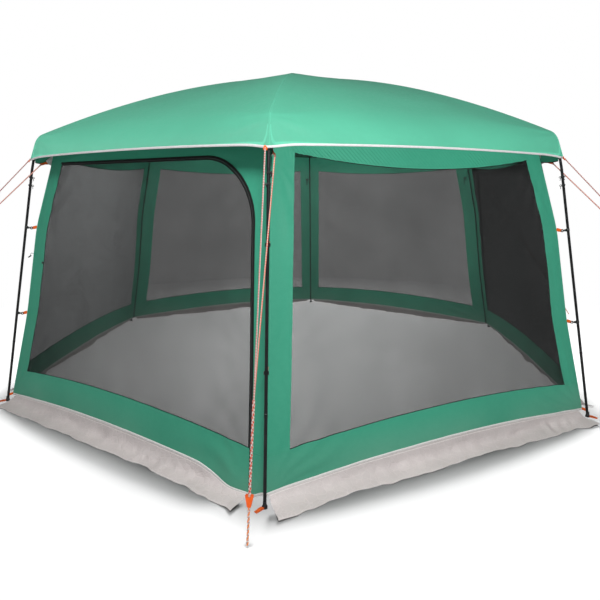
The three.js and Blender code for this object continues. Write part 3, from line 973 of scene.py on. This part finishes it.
def canopy_section(v, bend):
    """[corner radius, height] of the canopy: v is 0 at the hem and 1 at the crown."""
    v, bend = np.broadcast_arrays(v, bend)
    share = np.minimum(0.9, 0.2 + bend / 0.300)
    low_r = KNEE[0] + (HEM["r"] - KNEE[0]) * share
    low_z = KNEE[1] + (HEM["z"] - KNEE[1]) * share
    high_r = KNEE[0] - bend
    high_z = roof_z(high_r)
    skirt = np.clip(v / SKIRT_END, 0, 1)
    t = np.clip((v - SKIRT_END) / (ROOF_START - SKIRT_END), 0, 1)
    skirt_r = HEM["r"] + (low_r - HEM["r"]) * skirt
    skirt_z = HEM["z"] + (low_z - HEM["z"]) * skirt
    bend_r = low_r * (1 - t) ** 2 + KNEE[0] * 2 * t * (1 - t) + high_r * t**2
    bend_z = low_z * (1 - t) ** 2 + KNEE[1] * 2 * t * (1 - t) + high_z * t**2
    roof_r = high_r * (1 - v) / (1 - ROOF_START)
    top_z = roof_z(roof_r) + NUB["height"] * np.exp(-((roof_r / NUB["radius"]) ** 2))
    r = np.where(v <= SKIRT_END, skirt_r, np.where(v <= ROOF_START, bend_r, roof_r))
    z = np.where(v <= SKIRT_END, skirt_z, np.where(v <= ROOF_START, bend_z, top_z))
    return r, z


def canopy_relief(panel, along, r, z, share):
    """Outward and upward move of the canopy cloth: hollow panels, and folds from each knee."""
    points = np.stack([along, z, r * 0 + panel * 4.1], axis=-1)
    off_ridge = smooth_step(np.minimum(share, 1 - share) * r / 0.09)
    slack = np.clip(r / KNEE[0], 0, 1)
    hollow = -0.007 * crest(share) * np.sin(math.pi * slack)
    billow = 0.0035 * ripple(points, 300, 0.9) + 0.0010 * ripple(points, 310, 0.22)
    folds = 0.0
    for end in (0, 1):
        inwards = np.abs(share - end) * r
        rise = z - KNEE[1]
        reach = np.hypot(inwards, rise)
        fan = np.exp(-(((reach - 0.12) / 0.11) ** 2))
        turn = np.arctan2(rise, inwards + 0.01)
        folds = folds + 0.0030 * fan * np.sin(turn * 15 + panel + end)
    skirt = smooth_step((1.74 - z) / 0.08)
    gather = 0.0014 * skirt * np.sin(along * 2 * math.pi / 0.11 + 2.2 * ripple(points, 330, 0.5))
    return off_ridge * (hollow * (1 - skirt) + billow * 0.8 + folds + gather)


def canopy_point(u, v):
    """A point of the canopy: u runs 0 to 6 round the hem, one panel for each unit."""
    u, v = np.broadcast_arrays(np.asarray(u, float), np.asarray(v, float))
    panel = np.minimum(5, np.floor(u % 6)).astype(int)
    share = u % 6 - panel
    middle = crest(share)
    r, height = canopy_section(v, BEND["corner"] + (BEND["middle"] - BEND["corner"]) * middle)
    hem_share = np.maximum(0, 1 - v / ROOF_START)
    along = (share - 0.5) * r
    z = height + HEM["rise"] * middle * hem_share
    ridge = np.minimum(share, 1 - share) * r
    z = z - 0.010 * np.exp(-((ridge / 0.08) ** 2)) * np.maximum(0, 1 - v / SKIRT_END)
    moved = canopy_relief(panel, along, r, z, share)
    steep = smooth_step((1.90 - z) / 0.16)
    apothem = r * COS30 + HEM["bulge"] * middle * hem_share + moved * steep
    z = z + moved * (1 - steep)
    angle = np.radians(-120 - 60.0 * panel)
    x = apothem * np.cos(angle) + along * np.sin(angle)
    y = apothem * np.sin(angle) - along * np.cos(angle)
    return np.stack([x, y, z], axis=-1), r


def canopy_rows():
    skirt = steps(12, 0.0, SKIRT_END)
    bend = steps(22, SKIRT_END, ROOF_START)[1:]
    roof = steps(46, ROOF_START, 0.97)[1:]
    crown = steps(14, 0.97, 0.9992)[1:]
    return np.concatenate([skirt, bend, roof, crown])


def canopy():
    u = steps(6 * 56, 0.0, 6.0)[:-1][None]
    v = canopy_rows()[:, None]
    grid, r = canopy_point(u, v)
    share = u % 1.0
    ridge = np.minimum(share, 1 - share) * r
    down = np.broadcast_to(path_length(grid[:, 28])[:, None], ridge.shape)
    edge = np.minimum(ridge + 0.003, down + 0.004)
    weave = np.stack([(share - 0.5) * r + 0 * down, down, edge], axis=-1)
    cover = sheet(grid[:, ::-1], weave[:, ::-1], closed=True)
    build("cloth_canopy", "root", [(cover, CANOPY_CLOTH)], ["canopy"])


RIDGE_SEAM = {"across": (-0.0060, -0.0045, 0.0, 0.0045, 0.0060), "height": (0, 0.0005, 0.0006, 0.0005, 0)}


def ridge_seams():
    """Felled seams that run from the hem's corners up the ridges."""
    seams = []
    v = steps(120, 0.004, 0.955)
    offsets = np.array(RIDGE_SEAM["across"])[None]
    height = np.array(RIDGE_SEAM["height"])[None, :, None]
    for i in range(6):
        r = canopy_point(i + 0.0, v)[1]
        u = (i + offsets / r[:, None]) % 6
        grid = canopy_point(u, v[:, None])[0]
        along = path_length(grid[:, 2])[:, None]
        weave = np.stack(np.broadcast_arrays(along, offsets, 0.0095 - np.abs(offsets)), axis=-1)
        grid = grid - grid_normals(grid, False) * height
        seams.append((sheet(grid[:, ::-1], weave[:, ::-1], 0.0006, lift=0.0003), CANOPY_CLOTH))
    build("canopy_ridge_tapes", "root", seams)


def hem_binding():
    u = steps(6 * 60, 0.0, 6.0)[:-1]
    path = canopy_point(u, 0.0)[0] + np.array([0.0, 0.0, 0.0035])
    out = unit(path * np.array([1.0, 1.0, 0.0]))
    binding = sweep(path, strap_section(0.0116, 0.0036, 0.8), out, loop=True)
    build("hem_binding", "root", [(binding, WHITE_TAPE)])


# ---------------------------------------------------------------- frame


def leg_line(i, *heights):
    return np.array([at_corner(i, leg_radius(z), z) for z in heights])


def leg(i):
    letter = CORNERS[i]
    side = sideways(corner_angle(i))
    up = unit(leg_line(i, 0.1, 0.2)[1] - leg_line(i, 0.1, 0.2)[0])
    lower = tube(leg_line(i, *steps(12, 0.010, JOINT_Z - 0.0012)), LEG_RADIUS, 24, normal=side)
    joint = leg_line(i, JOINT_Z)[0]
    flush, proud, lip_r = SWAGE["flush"], SWAGE["proud"], SWAGE["lip"]
    foot = -SWAGE["length"]
    swage = lathe([(flush, foot), (proud, foot + 0.002), (proud, -0.003), (flush, -0.001)], joint, up)
    bare = tube(leg_line(i, JOINT_Z - 0.004, JOINT_Z + 0.004), LEG_RADIUS - 0.0006, 24, normal=side)
    r, h = FOOT["radius"], FOOT["height"]
    base = [(0.002, 0), (r - 0.001, 0), (r, 0.001), (r, h - 0.003), (r - 0.002, h)]
    sleeve = [(0.0088, h + 0.004), (0.0088, h + 0.016), (0.0082, h + 0.017)]
    cap = lathe(base + sleeve, at_corner(i, leg_radius(h / 2), 0.0), UP)
    parts = [(lower, STEEL), (swage, STEEL), (bare, BARE), (cap, PLASTIC)]
    build(f"tube_leg_lower_{letter}", "root", parts, [f"leg_lower_{letter}"])

    straight = leg_line(i, *steps(30, JOINT_Z + 0.0008, STRAIGHT_Z))
    bend = curve([straight[-1]] + [at_corner(i, r, z) for r, z in KNEE_BEND], 8)[1:]
    upper = tube(np.concatenate([straight, bend]), LEG_RADIUS, 24, normal=side)
    lip = lathe([(flush, 0.001), (lip_r, 0.0015), (lip_r, 0.006), (flush, 0.0065)], joint, up)
    parts = [(upper, STEEL), (lip, STEEL)]
    build(f"tube_leg_upper_{letter}", "root", parts, [f"leg_upper_{letter}"])


def roof_pole(k):
    r = steps(90, -ROOF_POLE["reach"], ROOF_POLE["reach"])
    dip = ROOF_POLE["drop"] + k * ROOF_POLE["stack"] * np.exp(-((r / ROOF_POLE["blend"]) ** 2))
    path = at_corner(k, r, roof_z(r) - dip)
    side = sideways(corner_angle(k))
    parts = [(tube(path, ROOF_POLE["radius"], 16, normal=side), ROD)]
    for at in (12, 30, 60, 78):
        parts.append((tube(path[at : at + 3], ROOF_POLE["radius"] + 0.0009, 16, normal=side), BARE))
    name = f"{CORNERS[k]}{CORNERS[k + 3]}"
    build(f"rod_roof_{name}", "root", parts, [f"roof_pole_{name}"])


def crown_hub():
    low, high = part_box("crown_hub")
    radius = high.x
    angle = steps(10, 0.0, math.pi / 2)
    height = high.z - low.z
    rim = 0.003
    dome = [(radius * math.cos(a), rim + (height - rim) * math.sin(a)) for a in angle[:-1]]
    outline = [(0.004, 0.0), (radius - 0.002, 0.0), (radius, rim / 2)] + dome + [(0.003, height)]
    shape = lathe(outline, (0.0, 0.0, low.z), UP, 48)
    build("hub_crown", "root", [(shape, PLASTIC)], ["crown_hub"])


# ---------------------------------------------------------------- clips, ties and straps


def corner_axes(i, z):
    """At a leg: the middle of the tube, up along it, inwards and sideways."""
    at = leg_line(i, z)[0]
    up = unit(leg_line(i, z + 0.1)[0] - at)
    side = sideways(corner_angle(i))
    inward = unit(np.cross(up, side))
    if inward @ outward(corner_angle(i)) > 0:
        inward = -inward
    return at, up, inward, side


def clip(i, level):
    """Snap hook round the leg, a ring in its eye, and the orange strap to the wall corner."""
    letter = CORNERS[i]
    z = CLIP_Z[level]
    at, up, inward, side = corner_axes(i, z)
    bore = LEG_RADIUS + 0.0002
    half_turn = 180 - CLIP["mouth"]
    round_leg = arc(at, inward, side, (CLIP["outer"] + bore) / 2, -half_turn, half_turn, 48)
    jaw = strap_section(CLIP["width"] * 1.25, CLIP["outer"] - bore + 0.0026, 0.6)
    hook = sweep(round_leg, jaw, -unit(round_leg - at))
    arm_path = [at + inward * d for d in (CLIP["outer"] - 0.001, 0.015, CLIP["arm"] - 0.003)]
    arm = sweep(arm_path, strap_section(0.0110, CLIP["width"], 0.35), up)
    eye = at + inward * (CLIP["arm"] + 0.0005)
    boss = ring(eye, inward, side, 0.0046, 0.0027, up, 24, 10)
    parts = [(hook, PLASTIC), (arm, PLASTIC), (boss, PLASTIC)]
    build(f"hook_{level}_{letter}", "root", parts, [f"pole_clip_{level}_{letter}"])

    corner = at_corner(i, span(z) + 0.001, z)
    out = outward(corner_angle(i))
    ring_at = eye + inward * 0.0080
    link = ring(ring_at, inward, up, 0.0068, 0.0031, side, 30, 10)
    start = ring_at + inward * 0.0030
    strap_line = [start + (corner - start) * t for t in (0.0, 0.12, 0.5, 0.88, 1.0)]
    strap = sweep(strap_line, strap_section(0.0200, 0.0034), side, scale=[0.55, 0.85, 1, 1, 1])
    foot_line = [corner - out * 0.002 + up * d for d in (-0.011, 0.011)]
    foot = sweep(foot_line, strap_section(0.010, 0.0035), out)
    parts = [(link, PLASTIC), (strap, ORANGE_TAPE), (foot, WALL_CLOTH)]
    build(f"clip_strap_{level}_{letter}", "root", parts)


def bow(at, up, right, front, size=0.020, tail=0.026, radius=0.0016):
    """A tied bow: a small knot, two loops and two loose ends."""
    parts = [ring(at, right, front, radius * 1.3, radius * 1.3, up, 14)]
    for way in (-1, 1):
        x = right * way
        rise = at + x * size * 0.5 + up * size * 0.32
        turn = at + x * size + up * size * 0.12
        back = at + x * size * 0.75 - up * size * 0.22 + front * radius
        through = at + front * radius
        drop = at + x * tail * 0.35 - up * tail * 0.25 + front * 0.004
        tip = at + x * tail * 0.55 - up * tail * 0.85
        for line in ([at, rise, turn, back, through], [through, drop, tip]):
            parts.append(tube(curve(line, 7), radius, 8, normal=front))
    return parts


def leg_ties(i):
    """Black cords tied round the leg below the hem."""
    parts = []
    cord = 0.0017
    for z, way in ((1.512, 1), (1.462, -1)):
        at, up, inward, side = corner_axes(i, z)
        climb = steps(90, -0.0045, 0.0045)[:, None]
        wrap = arc(at, inward, side, LEG_RADIUS + cord, 0, 360 * 2.6, 90) + up * climb
        parts.append((tube(wrap, cord, 8, normal=up), BLACK_CORD))
        front = unit(inward * 0.35 + side * way)
        right = unit(np.cross(up, front))
        for shape in bow(at + front * (LEG_RADIUS + 0.0035), up, right, front, 0.017, 0.024):
            parts.append((shape, BLACK_CORD))
    build(f"leg_ties_{CORNERS[i]}", "root", parts)


def inner_ties(i):
    """Loose tie cords that hang inside each wall corner."""
    z = 1.545
    side = sideways(corner_angle(i))
    inward = -outward(corner_angle(i))
    at = at_corner(i, span(z) - 0.034, z) + side * 0.03
    parts = [(shape, BLACK_CORD) for shape in bow(at, UP, side, inward, 0.016, 0.022, 0.0018)]
    for way in (-1, 1):
        middle = at + side * 0.006 * way - UP * 0.03 + inward * 0.003
        end = at + side * 0.003 * way - UP * (0.066 + 0.008 * way)
        parts.append((tube(curve([at, middle, end], 8), 0.0020, 8, normal=side), BLACK_CORD))
    build(f"inner_ties_{CORNERS[i]}", "root", parts)


def door_toggle():
    """The loop and toggle that hold the door open, on the strip beside corner b."""
    toggle_z, button_z = 1.010, 0.960
    root = at_corner(1, span(toggle_z) + 0.001, toggle_z)
    out = outward(corner_angle(1))
    cord = curve([root, root + out * 0.014 + UP * 0.006, root + out * 0.026 - UP * 0.016], 10)
    way = unit(out * 0.85 - UP * 0.5)
    spindle = np.array([(-0.012, 0.0026), (-0.010, 0.0036), (0.0, 0.0042), (0.010, 0.0036), (0.012, 0.0026)])
    bar = tube(cord[-1] + way * spindle[:, :1], spindle[:, 1], 14)
    inner = on_wall(DOOR_WALL, span(button_z) / 2 - STRIP_WIDTH + 0.004, button_z, 0.004)
    outline = [(0.001, -0.003), (0.007, -0.003), (0.008, 0.0), (0.006, 0.003), (0.001, 0.004)]
    button = lathe(outline, inner, wall_normal(DOOR_WALL), 20)
    parts = [(tube(cord, 0.0014, 8), BLACK_CORD), (bar, PLASTIC), (button, PLASTIC)]
    build("door_toggle", "root", parts)


# The upper and lower layer of the loop for a ground pin: distance out from the foot, and height.
PIN_LOOP = [
    [(0.0, 0.010), (0.018, 0.011), (0.040, 0.0065)],
    [(0.0, 0.006), (0.018, 0.004), (0.041, 0.0035)],
]


def foot_straps(i):
    """Orange webbing at the foot: a tie from the wall corner, and a loop for a ground pin."""
    width = 0.016
    z = 0.050
    at, up, _, side = corner_axes(i, z)
    out = outward(corner_angle(i))
    corner = at_corner(i, span(z) - 0.002, z)
    tie_line = [corner, corner * 0.5 + at * 0.5 - up * 0.003, at - up * 0.008]
    shapes = [sweep(tie_line, strap_section(width, 0.0026), side)]
    way = unit(out * 0.75 - side * 0.66) if i == 0 else out
    edge = np.cross(UP, way)
    start = at_corner(i, leg_radius(FOOT["height"] / 2), 0.0) + way * 0.010
    for layer in PIN_LOOP:
        line = curve([start + way * reach + UP * height for reach, height in layer], 8)
        shapes.append(sweep(line, strap_section(width, 0.0022), np.cross(way, edge)))
    end = start + way * 0.044 + UP * 0.005
    shapes.append(tube([end - edge * width / 2, end, end + edge * width / 2], 0.0034, 14))
    build(f"foot_straps_{CORNERS[i]}", "root", [(shape, ORANGE_TAPE) for shape in shapes])


# ---------------------------------------------------------------- guy ropes

# Ends of the cords as (radius, height, sideways), and how far down the two cords meet.
GUY = {"hem": (1.962, 1.622, -0.014), "wall": (1.893, 1.597, 0.022), "cord": 0.0034, "meet": 0.74}
PEG = {"near": (2.520, 0.006, -0.036), "far": (3.510, 0.006, 0.0)}
KNOT_AT = {"near": 0.885, "far": 0.85}


def twisted(start, stop, radius, lay):
    """Two cords twisted together between two points."""
    length = np.linalg.norm(stop - start)
    t = steps(max(40, int(length / 0.006)))
    way = unit(stop - start)
    x = unit(np.cross(way, [0.2, 0.3, 0.93]))
    y = np.cross(way, x)
    out = []
    for phase in (0, math.pi):
        angle = (2 * math.pi * length * t / lay + phase)[:, None]
        coil = radius * 0.92 * (np.cos(angle) * x + np.sin(angle) * y)
        out.append(tube(start + (stop - start) * t[:, None] + coil, radius, 8, normal=x + y * 0.01))
    return out


def straight(start, stop, pitch=0.02):
    count = max(2, int(np.linalg.norm(stop - start) / pitch))
    return start + (stop - start) * steps(count)[:, None]


def guy(i):
    """One cord from the hem and one from the wall corner, twisted together down to the peg."""
    reach = "near" if i % 3 == 0 else "far"
    hem = at_corner(i, *GUY["hem"])
    wall = at_corner(i, *GUY["wall"])
    peg = at_corner(i, *PEG[reach])
    knot = hem + (peg - hem) * KNOT_AT[reach]
    meet = hem + (knot - hem) * GUY["meet"]
    parts = [
        (tube(straight(hem, meet), GUY["cord"], 10), PALE_CORD),
        (tube(straight(wall, meet), GUY["cord"], 10), RED_CORD),
    ]
    way = unit(peg - knot)
    pairs = twisted(meet, knot, 0.0036, 0.034) + twisted(knot, peg - way * 0.002, 0.0030, 0.024)
    parts.extend(zip(pairs, (RED_CORD, PALE_CORD, ORANGE_CORD, PALE_CORD)))
    side = unit(np.cross(way, UP))
    front = np.cross(side, way)
    for centre in (knot - way * 0.006, knot):
        parts.append((ring(centre, side, front, 0.0042, 0.0028, way), RED_CORD))
    for start in (hem, wall):
        heading = unit(knot - start)
        x = unit(np.cross(heading, [0.1, 0.2, 0.97]))
        y = np.cross(heading, x)
        for d in (0.004, 0.010):
            parts.append((ring(start + heading * d, x, y, 0.0030, 0.0024, heading, 16), RED_CORD))
    build(f"cords_guy_{CORNERS[i]}", "root", parts, [f"guy_rope_{CORNERS[i]}"])


PATCH = {"heights": (1.590, 1.660), "height": 0.09, "width": 0.06, "seam": 0.02}


def guy_tabs(i):
    """Orange webbing tabs that hold the cords, and the grey patch on the wall corner."""
    side = sideways(corner_angle(i))
    out = outward(corner_angle(i))
    hem_top = at_corner(i, HEM["r"] - 0.002, HEM["z"] - 0.006, -0.010)
    hem = at_corner(i, *GUY["hem"])
    tab_line = curve([hem_top, hem_top * 0.4 + hem * 0.6 + out * 0.001, hem - UP * 0.010], 8)
    tab = sweep(tab_line, strap_section(0.019, 0.0030), out)
    loop = ring(hem - UP * 0.004, side, UP, 0.0050, 0.0022, out)
    wall = at_corner(i, *GUY["wall"])
    low, high = [at_corner(i, span(z) + 0.001, z) for z in PATCH["heights"]]
    tip = wall * 0.45 + low * 0.55 + UP * 0.012
    outwards = steps(12)[:, None, None]
    upwards = steps(12)[None, :, None]
    edge = low + (high - low) * upwards
    belly = side * (0.004 * np.sin(math.pi * outwards) * np.sin(math.pi * upwards))
    grid = edge + (tip + UP * 0.02 * upwards - edge) * outwards + belly
    weave = np.zeros(grid.shape)
    weave[..., 0] = upwards[..., 0] * PATCH["height"]
    weave[..., 1] = outwards[..., 0] * PATCH["width"]
    weave[..., 2] = PATCH["seam"]
    patch = sheet(grid, weave, 0.0014)
    inner_end = tip - (wall - tip) * 0.3 + UP * 0.004
    strap_line = [inner_end, tip * 0.4 + wall * 0.6, wall + (wall - tip) * 0.12]
    strap = sweep(strap_line, strap_section(0.014, 0.0030), side)
    parts = [(tab, ORANGE_TAPE), (loop, ORANGE_TAPE), (patch, PATCH_SHEET), (strap, ORANGE_TAPE)]
    parts.extend(gusset(i))
    build(f"guy_tabs_{CORNERS[i]}", "root", parts)


def gusset(i):
    """Cloth web under the hem, from the wall corner out to the leg, bound in black below."""
    t = steps(14)
    rise = steps(6)[:, None]
    wall_r, leg_r = span(1.62) + 0.002, leg_radius(1.62) - 0.012
    reach = wall_r + (leg_r - wall_r) * t
    lower = at_corner(i, reach, 1.604 + 0.004 * t - 0.006 * crest(t))
    upper = at_corner(i, reach, 1.650 - 0.014 * t)
    grid = lower + (upper - lower) * rise[..., None]
    weave = np.stack(np.broadcast_arrays(t * 0.15, rise * 0.04, 0.02), axis=-1)
    edge = sweep(lower, strap_section(0.0050, 0.0030), sideways(corner_angle(i)))
    return [(sheet(grid, weave), WALL_CLOTH), (edge, BLACK_TAPE)]


def tensioner(i):
    """The CAD tensioner stays, with rounded edges and a moulded finish."""
    node = frame["nodes"][f"tensioner_{CORNERS[i]}"]
    node.data.materials.clear()
    node.data.materials.append(ORANGE_PLASTIC)
    node.data.polygons.foreach_set("material_index", [0] * len(node.data.polygons))
    modifier = node.modifiers.new("edges", "BEVEL")
    modifier.width = 0.0016
    modifier.segments = 3
    modifier.limit_method = "ANGLE"
    modifier.angle_limit = math.radians(40)


def zip_slider():
    """Slider body with a bridge and a hanging pull, at rest at the zip's lower end."""
    low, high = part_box("zip_slider")
    centre = (np.array(low) + np.array(high)) / 2
    axis = next(j["axis"] for j in frame["joints"] if j["name"] == "zip_run")
    up = unit(np.array(axis, float))
    level = sideways(wall_angle(DOOR_WALL))
    front = np.cross(unit(level - up * (level @ up)), up)
    middle = centre + up * 0.0165 - front * 0.0012
    plate_line = [middle + up * d for d in (-0.011, -0.008, 0.0, 0.006, 0.011)]
    plate_widths = [0.72, 0.92, 1.0, 0.95, 0.70]
    plate = sweep(plate_line, strap_section(0.011, 0.0050, 0.7), front, scale=plate_widths)
    low_end, high_end = [middle + up * d + front * 0.0022 for d in (-0.007, 0.007)]
    bridge = tube(curve([low_end, middle + front * 0.0050, high_end], 8), 0.0013, 10)
    top = middle - up * 0.001 + front * 0.0042
    pull_line = [top - up * d for d in (0.0, 0.003, 0.014, 0.022, 0.033)]
    pull_widths = [0.6, 0.8, 0.8, 1.1, 1.0]
    pull = sweep(pull_line, strap_section(0.0060, 0.0016, 0.8), front, scale=pull_widths)
    parts = [(plate, PLASTIC), (bridge, PLASTIC), (pull, PLASTIC)]
    build("slider_zip", "zip_slider", parts, ["zip_slider"])


# ---------------------------------------------------------------- stage

CAMERA = {"at": (0.3082, -4.3974, 1.4423), "down": 12.01, "turn": 3.87, "lens": 31.45}
FLOOR_HALF = 60.0
FLOOR_EDGE = (2.9, 4.2)  # between these radii the floor turns into plain white backdrop
WORLD_LIGHT = {"low": 0.65, "top": 0.52, "left": 0.60, "right": 0.30}
# Name, place, target, size, watts and what it lights. The groups are made in lights().
LAMPS = [
    ("key", (0.6, -4.0, 3.7), (0.0, -1.7, 1.0), (1.6, 1.2), 185, "all but the right wall"),
    ("right_key", (1.6, -4.3, 2.6), (0.7, -1.4, 0.8), (1.4, 1.0), 112, "right wall"),
    ("left_net_lamp", (0.2, -0.5, 1.5), (-1.6, -0.4, 1.1), (1.2, 0.8), 1300, "left net"),
    ("back_wall_lamp", (0.1, -0.6, 1.2), (0.1, 2.0, 1.0), (1.8, 0.8), 48, "back walls"),
    ("inside_lamp", (0.0, -0.5, 1.45), (0.0, 2.0, 0.9), (1.8, 0.9), 22, "tent"),
    ("roof_left", (-4.2, -2.9, 3.5), (-0.5, -0.8, 1.9), (2.6, 2.0), 182, "roof"),
    ("roof_right", (2.9, -3.9, 2.15), (0.9, -1.2, 1.8), (2.4, 0.8), 92, "roof"),
    ("floor_lamp", (0.0, 0.0, 9.0), (0.0, 0.0, 0.0), (1.0, 1.0), 2700, "floor"),
    ("floor_left", (-0.9, -0.3, 1.5), (-0.7, -0.3, 0.0), (1.6, 1.6), 34, "floor"),
]
FLOOR_SUN = {"height": 15, "softness": 11, "strength": 22}  # degrees, degrees, watts per square metre


def floor():
    s = Shader("studio_floor")
    spot = s.place()
    pale = s.ramp(s.noise(spot, 0.6, 3.0), 0.3, 0.7)
    tone = s.mix(pale, colour(0.20, 0.20, 0.20), colour(0.22, 0.22, 0.22))
    lit = s.principled(tone, 0.9, Specular_IOR_Level=0.1)
    glow = s.node("Emission", {"Color": WHITE, "Strength": 1.0})
    radius = s.node("VectorMath", {0: spot}, out="Value", operation="LENGTH")
    material = s.finish(s.node("MixShader", {0: s.ramp(radius, *FLOOR_EDGE), 1: lit, 2: glow}))
    mesh = bpy.data.meshes.new("studio_floor")
    corners = [(x * FLOOR_HALF, y * FLOOR_HALF, 0) for x, y in ((-1, -1), (1, -1), (1, 1), (-1, 1))]
    mesh.from_pydata(corners, [], [(0, 1, 2, 3)])
    mesh.materials.append(material)
    ground = linked("studio_floor", mesh)
    return ground


def gathered(name, things):
    group = bpy.data.collections.new(name)
    for thing in things:
        group.objects.link(thing)
    return group


def area_light(name, at, target, size, power, lit):
    """A soft lamp aimed at target, for the things in lit alone."""
    data = bpy.data.lights.new(name, "AREA")
    data.shape = "ELLIPSE"
    data.size, data.size_y = size
    data.energy = power
    light = linked(name, data)
    light.location = at
    light.rotation_euler = (Vector(target) - Vector(at)).to_track_quat("-Z", "Y").to_euler()
    light.visible_camera = False
    light.light_linking.receiver_collection = gathered(f"{name}_lights", lit)


def world():
    """White to the camera. As a light it is brightest low down on the left."""
    made = bpy.data.worlds.new("studio")
    bpy.context.scene.world = made
    made.use_nodes = True
    tree = made.node_tree
    tree.nodes.clear()

    def node(kind, **inputs):
        added = tree.nodes.new("ShaderNode" + kind)
        for key, value in inputs.items():
            key = int(key[1:]) if key[1:].isdigit() else key
            if isinstance(value, bpy.types.NodeSocket):
                tree.links.new(value, added.inputs[key])
            else:
                added.inputs[key].default_value = value
        return added

    split = node("SeparateXYZ", i0=node("TexCoord").outputs["Generated"])
    light = WORLD_LIGHT
    level = node("MapRange", i0=split.outputs[2], i1=0.0, i2=0.8, i3=light["low"], i4=light["top"])
    across = node("MapRange", i0=split.outputs[0], i1=-1.0, i2=1.0, i3=light["left"], i4=light["right"])
    strength = node("Math", i0=level.outputs[0], i1=across.outputs[0])
    strength.operation = "MULTIPLY"
    lit = node("Background", Strength=strength.outputs[0])
    seen = node("Background", Color=WHITE)
    to_camera = node("LightPath").outputs["Is Camera Ray"]
    mix = node("MixShader", i0=to_camera, i1=lit.outputs[0], i2=seen.outputs[0])
    node("OutputWorld", Surface=mix.outputs[0])


def floor_sun(ground, flaps):
    """Low light from behind for the floor alone: only the ground flaps shade it."""
    data = bpy.data.lights.new("floor_sun", "SUN")
    data.angle = math.radians(FLOOR_SUN["softness"])
    data.energy = FLOOR_SUN["strength"]
    light = linked("floor_sun", data)
    light.rotation_euler = (math.radians(FLOOR_SUN["height"] - 90), 0, 0)
    light.light_linking.receiver_collection = gathered("floor_sun_lights", [ground])
    light.light_linking.blocker_collection = gathered("floor_sun_blockers", flaps)


def lights(ground):
    """Each lamp lights one group of things, as the photo's retouched lighting asks for."""
    things = bpy.data.objects
    tent = [thing for thing in things if thing.type == "MESH" and thing != ground]
    right_wall = things[f"cloth_wall_{WALLS[VALANCE_WALL]}"]
    groups = {
        "tent": tent,
        "all but the right wall": [thing for thing in tent if thing != right_wall],
        "right wall": [right_wall],
        "left net": [things[f"net_window_{WALLS[1]}"]],
        "back walls": [things[f"cloth_wall_{name}"] for name in WALLS[1:5]],
        "roof": [things["cloth_canopy"], things["canopy_ridge_tapes"]],
        "floor": [ground],
    }
    for name, at, target, size, power, group in LAMPS:
        area_light(name, at, target, size, power, groups[group])
    # The canopy's hem would shade the right wall, so this lamp is blocked by the wall alone.
    things["right_key"].light_linking.blocker_collection = gathered("right_key_blockers", [right_wall])
    flaps = [things[f"sheet_flap_{WALLS[i]}"] for i in (DOOR_WALL, VALANCE_WALL)]
    floor_sun(ground, flaps)


def camera():
    data = bpy.data.cameras.new("camera")
    data.lens = CAMERA["lens"]
    data.sensor_width = 36
    made = linked("camera", data)
    made.location = CAMERA["at"]
    made.rotation_euler = (math.radians(90 - CAMERA["down"]), 0, math.radians(CAMERA["turn"]))
    bpy.context.scene.camera = made
    bpy.context.scene.view_settings.view_transform = "Standard"


# ---------------------------------------------------------------- assembly

for i in range(6):
    wall_parts(i)
    if i != DOOR_WALL:
        window_net(i)
    flap(i)
    corner_seam(i)
    leg(i)
    clip(i, "lower")
    clip(i, "upper")
    leg_ties(i)
    inner_ties(i)
    foot_straps(i)
    guy(i)
    guy_tabs(i)
    tensioner(i)
for k in range(3):
    roof_pole(k)
corner_strip_seams()
door_and_zip()
zip_slider()
door_toggle()
crown_hub()
canopy()
ridge_seams()
hem_binding()
world()
lights(floor())
camera()
